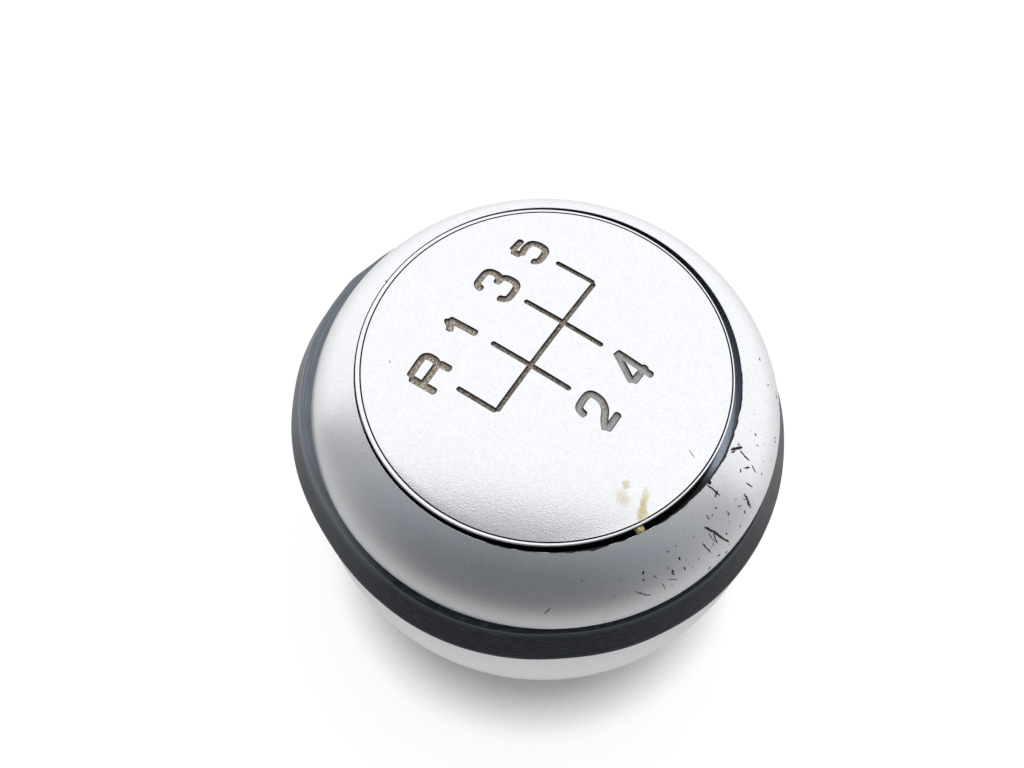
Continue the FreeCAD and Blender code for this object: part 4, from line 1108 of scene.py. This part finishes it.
class KNOB_OT_paint_wear(bpy.types.Operator):
    """Scratch and chip the paint of the shoulder and the cap"""

    bl_idname = "knob.paint_wear"
    bl_label = "Paint wear"

    def execute(self, context):
        cap = context.scene.knob_cap
        shoulder = context.scene.knob_shoulder
        plastic = bare_black_plastic(context.scene.knob_finish)

        def on_shoulder(around, rise):
            out = shoulder.arc_r + shoulder.arc_radius * math.cos(math.radians(rise))
            level = shoulder.arc_z + shoulder.arc_radius * math.sin(math.radians(rise))
            return out * math.cos(math.radians(around)), out * math.sin(math.radians(around)), level

        def on_cap(x, y):
            level = cap.rim_z + cap.dome * (1 - (math.hypot(x, y) / (cap.radius / MM)) ** 2)
            return mm(x) + cap.shift_x, mm(y) + cap.shift_y, level

        scratching = scratch_tree()
        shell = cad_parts["upper_shell"]
        cap_piece = bpy.data.objects["engraved_pattern_cap"]
        for name, marks, place, surface in (
                ("shoulder_scratches", SHOULDER_SCRATCHES, on_shoulder, shell),
                ("cap_scratches", CAP_SCRATCHES, on_cap, cap_piece)):
            strokes = stroke_object(f"{name}_strokes", [(width, [points]) for width, points in marks], place)
            mesh = run_tree(strokes, scratching, {
                "Surface": surface, "Width": MM, "Proud": shoulder.scratch_lift, "Plastic": plastic})
            bpy.data.objects.remove(strokes)
            ride_root(keep_mesh(name, mesh, plastic), "black_plastic")

        merged = bmesh.new()
        merged.from_mesh(shell.data)
        bmesh.ops.remove_doubles(merged, verts=merged.verts, dist=MERGE)
        carrier = new_object("chip_carrier", merged, [])
        chips = run_tree(carrier, chip_tree(), {
            "Density": shoulder.chip_density, "Size": shoulder.chip_size, "Seed": shoulder.chip_seed,
            "Foot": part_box("grip_band")[1].z, "Worn way": way_round(shoulder.chip_angle), "Plastic": plastic})
        bpy.data.objects.remove(carrier)
        ride_root(keep_mesh("paint_chips", chips, plastic), "black_plastic")
        return {"FINISHED"}


class KNOB_OT_glue_smears(bpy.types.Operator):
    """Smear old glue over the cap's edge and leave a bead in the gap"""

    bl_idname = "knob.glue_smears"
    bl_label = "Glue smears"

    def execute(self, context):
        cap = context.scene.knob_cap
        glue = context.scene.knob_glue
        dome_radius = cap.radius - cap.line_inset - cap.line_width
        dome_arc = arc_over(dome_radius, cap.dome)
        dome_centre_z = cap.rim_z + cap.dome - dome_arc
        disc = bmesh.new()
        bmesh.ops.create_circle(disc, cap_ends=True, cap_tris=True, segments=40, radius=1.0)
        bmesh.ops.subdivide_edges(disc, edges=list(disc.edges), cuts=3, use_grid_fill=True)
        disc.verts.index_update()
        bm = bmesh.new()
        body = bm.verts.layers.float.new("body")
        for number, (centre, halves, degrees, fullness) in enumerate(GLUE_SMEARS):
            way = math.radians(degrees)
            smear = []
            for vert in disc.verts:
                angle = math.atan2(vert.co.y, vert.co.x)
                ragged = 1 + 0.3 * noise.noise(Vector((math.cos(angle), math.sin(angle), number)) * 1.8)
                fill = max(0.0, 1 - vert.co.xy.length ** 2)
                along, across = vert.co.x * mm(halves[0]) * ragged, vert.co.y * mm(halves[1]) * ragged
                x = mm(centre[0]) + along * math.cos(way) - across * math.sin(way)
                y = mm(centre[1]) + along * math.sin(way) + across * math.cos(way)
                out = min(math.hypot(x, y), dome_radius)
                level = dome_centre_z + math.sqrt(dome_arc ** 2 - out ** 2)
                spot = bm.verts.new((x + cap.shift_x, y + cap.shift_y, level + glue.film + glue.crown * fill))
                spot[body] = fullness * fill - 1
                smear.append(spot)
            for face in disc.faces:
                bm.faces.new([smear[vert.index] for vert in face.verts])
        disc.free()
        bead = bmesh.ops.create_icosphere(bm, subdivisions=3, radius=1.0)
        half_depth, half_width, half_height = glue.bead_size
        for vert in bead["verts"]:
            swell = 1 + 0.35 * noise.noise(vert.co * 1.6)
            out = glue.bead_radius + vert.co.x * half_depth * swell
            angle = glue.bead_angle + vert.co.y * half_width * swell / out
            vert.co = (out * math.cos(angle), out * math.sin(angle), glue.bead_z + vert.co.z * half_height * swell)
            vert[body] = -0.1
        for face in bm.faces:
            face.smooth = True
        smears = new_object("glue_smears", bm, [yellowed_glue(context.scene.knob_finish)], math.radians(80))
        ride_root(smears, "yellowed_adhesive")
        return {"FINISHED"}


class KNOB_OT_stage(bpy.types.Operator):
    """Set the floor, the lamps and the camera"""

    bl_idname = "knob.stage"
    bl_label = "Stage"

    def execute(self, context):
        scene = context.scene
        stage = scene.knob_stage
        scene.view_settings.view_transform = "Standard"

        back = Vector((
            math.sin(stage.azimuth) * math.cos(stage.elevation),
            -math.cos(stage.azimuth) * math.cos(stage.elevation), math.sin(stage.elevation)))
        level = Vector(way_round(stage.azimuth))
        upward = back.cross(level)
        right = level * math.cos(stage.roll) - upward * math.sin(stage.roll)
        up = level * math.sin(stage.roll) + upward * math.cos(stage.roll)
        camera = put_in_scene("camera", bpy.data.cameras.new("camera"))
        camera.data.lens = stage.lens
        camera.data.sensor_width = 36.0
        camera.data.clip_start = mm(5)
        camera.matrix_world = Matrix.Translation(stage.place) @ Matrix((right, up, back)).transposed().to_4x4()
        scene.camera = camera

        near = Vector((back.x, back.y, 0.0)).normalized()
        lamp = bpy.data.lights.new("softbox_above", "AREA")
        lamp.shape = "RECTANGLE"
        lamp.size, lamp.size_y = stage.softbox_size
        lamp.energy = stage.softbox_power
        softbox = put_in_scene("softbox_above", lamp)
        far_right = level * math.sin(stage.softbox_turn) - near * math.cos(stage.softbox_turn)
        aim = Vector((0, 0, 1)) * math.sin(stage.softbox_rise) + far_right * math.cos(stage.softbox_rise)
        softbox.location = aim * stage.softbox_distance
        softbox.rotation_euler = aim.to_track_quat("Z", "Y").to_euler()
        softbox.visible_glossy = False

        dark_side = near * math.cos(stage.dark_turn) - level * math.sin(stage.dark_turn)
        scene.world = room_light(stage, dark_side)
        bm = bmesh.new()
        bmesh.ops.create_grid(bm, x_segments=1, y_segments=1, size=stage.table_half)
        bmesh.ops.translate(bm, verts=bm.verts, vec=(0.0, 0.0, -stage.table_drop))
        table = new_object("table", bm, [white_table(stage, dark_side)])
        return {"FINISHED"}


STEPS = (
    KNOB_OT_painted_shells,
    KNOB_OT_inner_parts,
    KNOB_OT_grip_band,
    KNOB_OT_pattern_cap,
    KNOB_OT_paint_wear,
    KNOB_OT_glue_smears,
    KNOB_OT_stage,
)


class VIEW3D_PT_knob(bpy.types.Panel):
    """Settings and steps of the knob"""

    bl_label = "Gear shift knob"
    bl_space_type = "VIEW_3D"
    bl_region_type = "UI"
    bl_category = "Knob"

    def draw(self, context):
        for name, group in SETTINGS.items():
            box = self.layout.box()
            box.label(text=group.__doc__)
            for prop in group.__annotations__:
                box.prop(getattr(context.scene, name), prop)
        for step in STEPS:
            self.layout.operator(step.bl_idname)


CLASSES = (*SETTINGS.values(), *STEPS, VIEW3D_PT_knob)


def register():
    for cls in CLASSES:
        bpy.utils.register_class(cls)
    for name, group in SETTINGS.items():
        setattr(bpy.types.Scene, name, PointerProperty(type=group))


def unregister():
    for name in SETTINGS:
        delattr(bpy.types.Scene, name)
    for cls in reversed(CLASSES):
        bpy.utils.unregister_class(cls)


def main():
    register()
    bpy.ops.knob.painted_shells()
    bpy.ops.knob.inner_parts()
    bpy.ops.knob.grip_band()
    bpy.ops.knob.pattern_cap()
    bpy.ops.knob.paint_wear()
    bpy.ops.knob.glue_smears()
    bpy.ops.knob.stage()


if __name__ == "__main__":
    main()
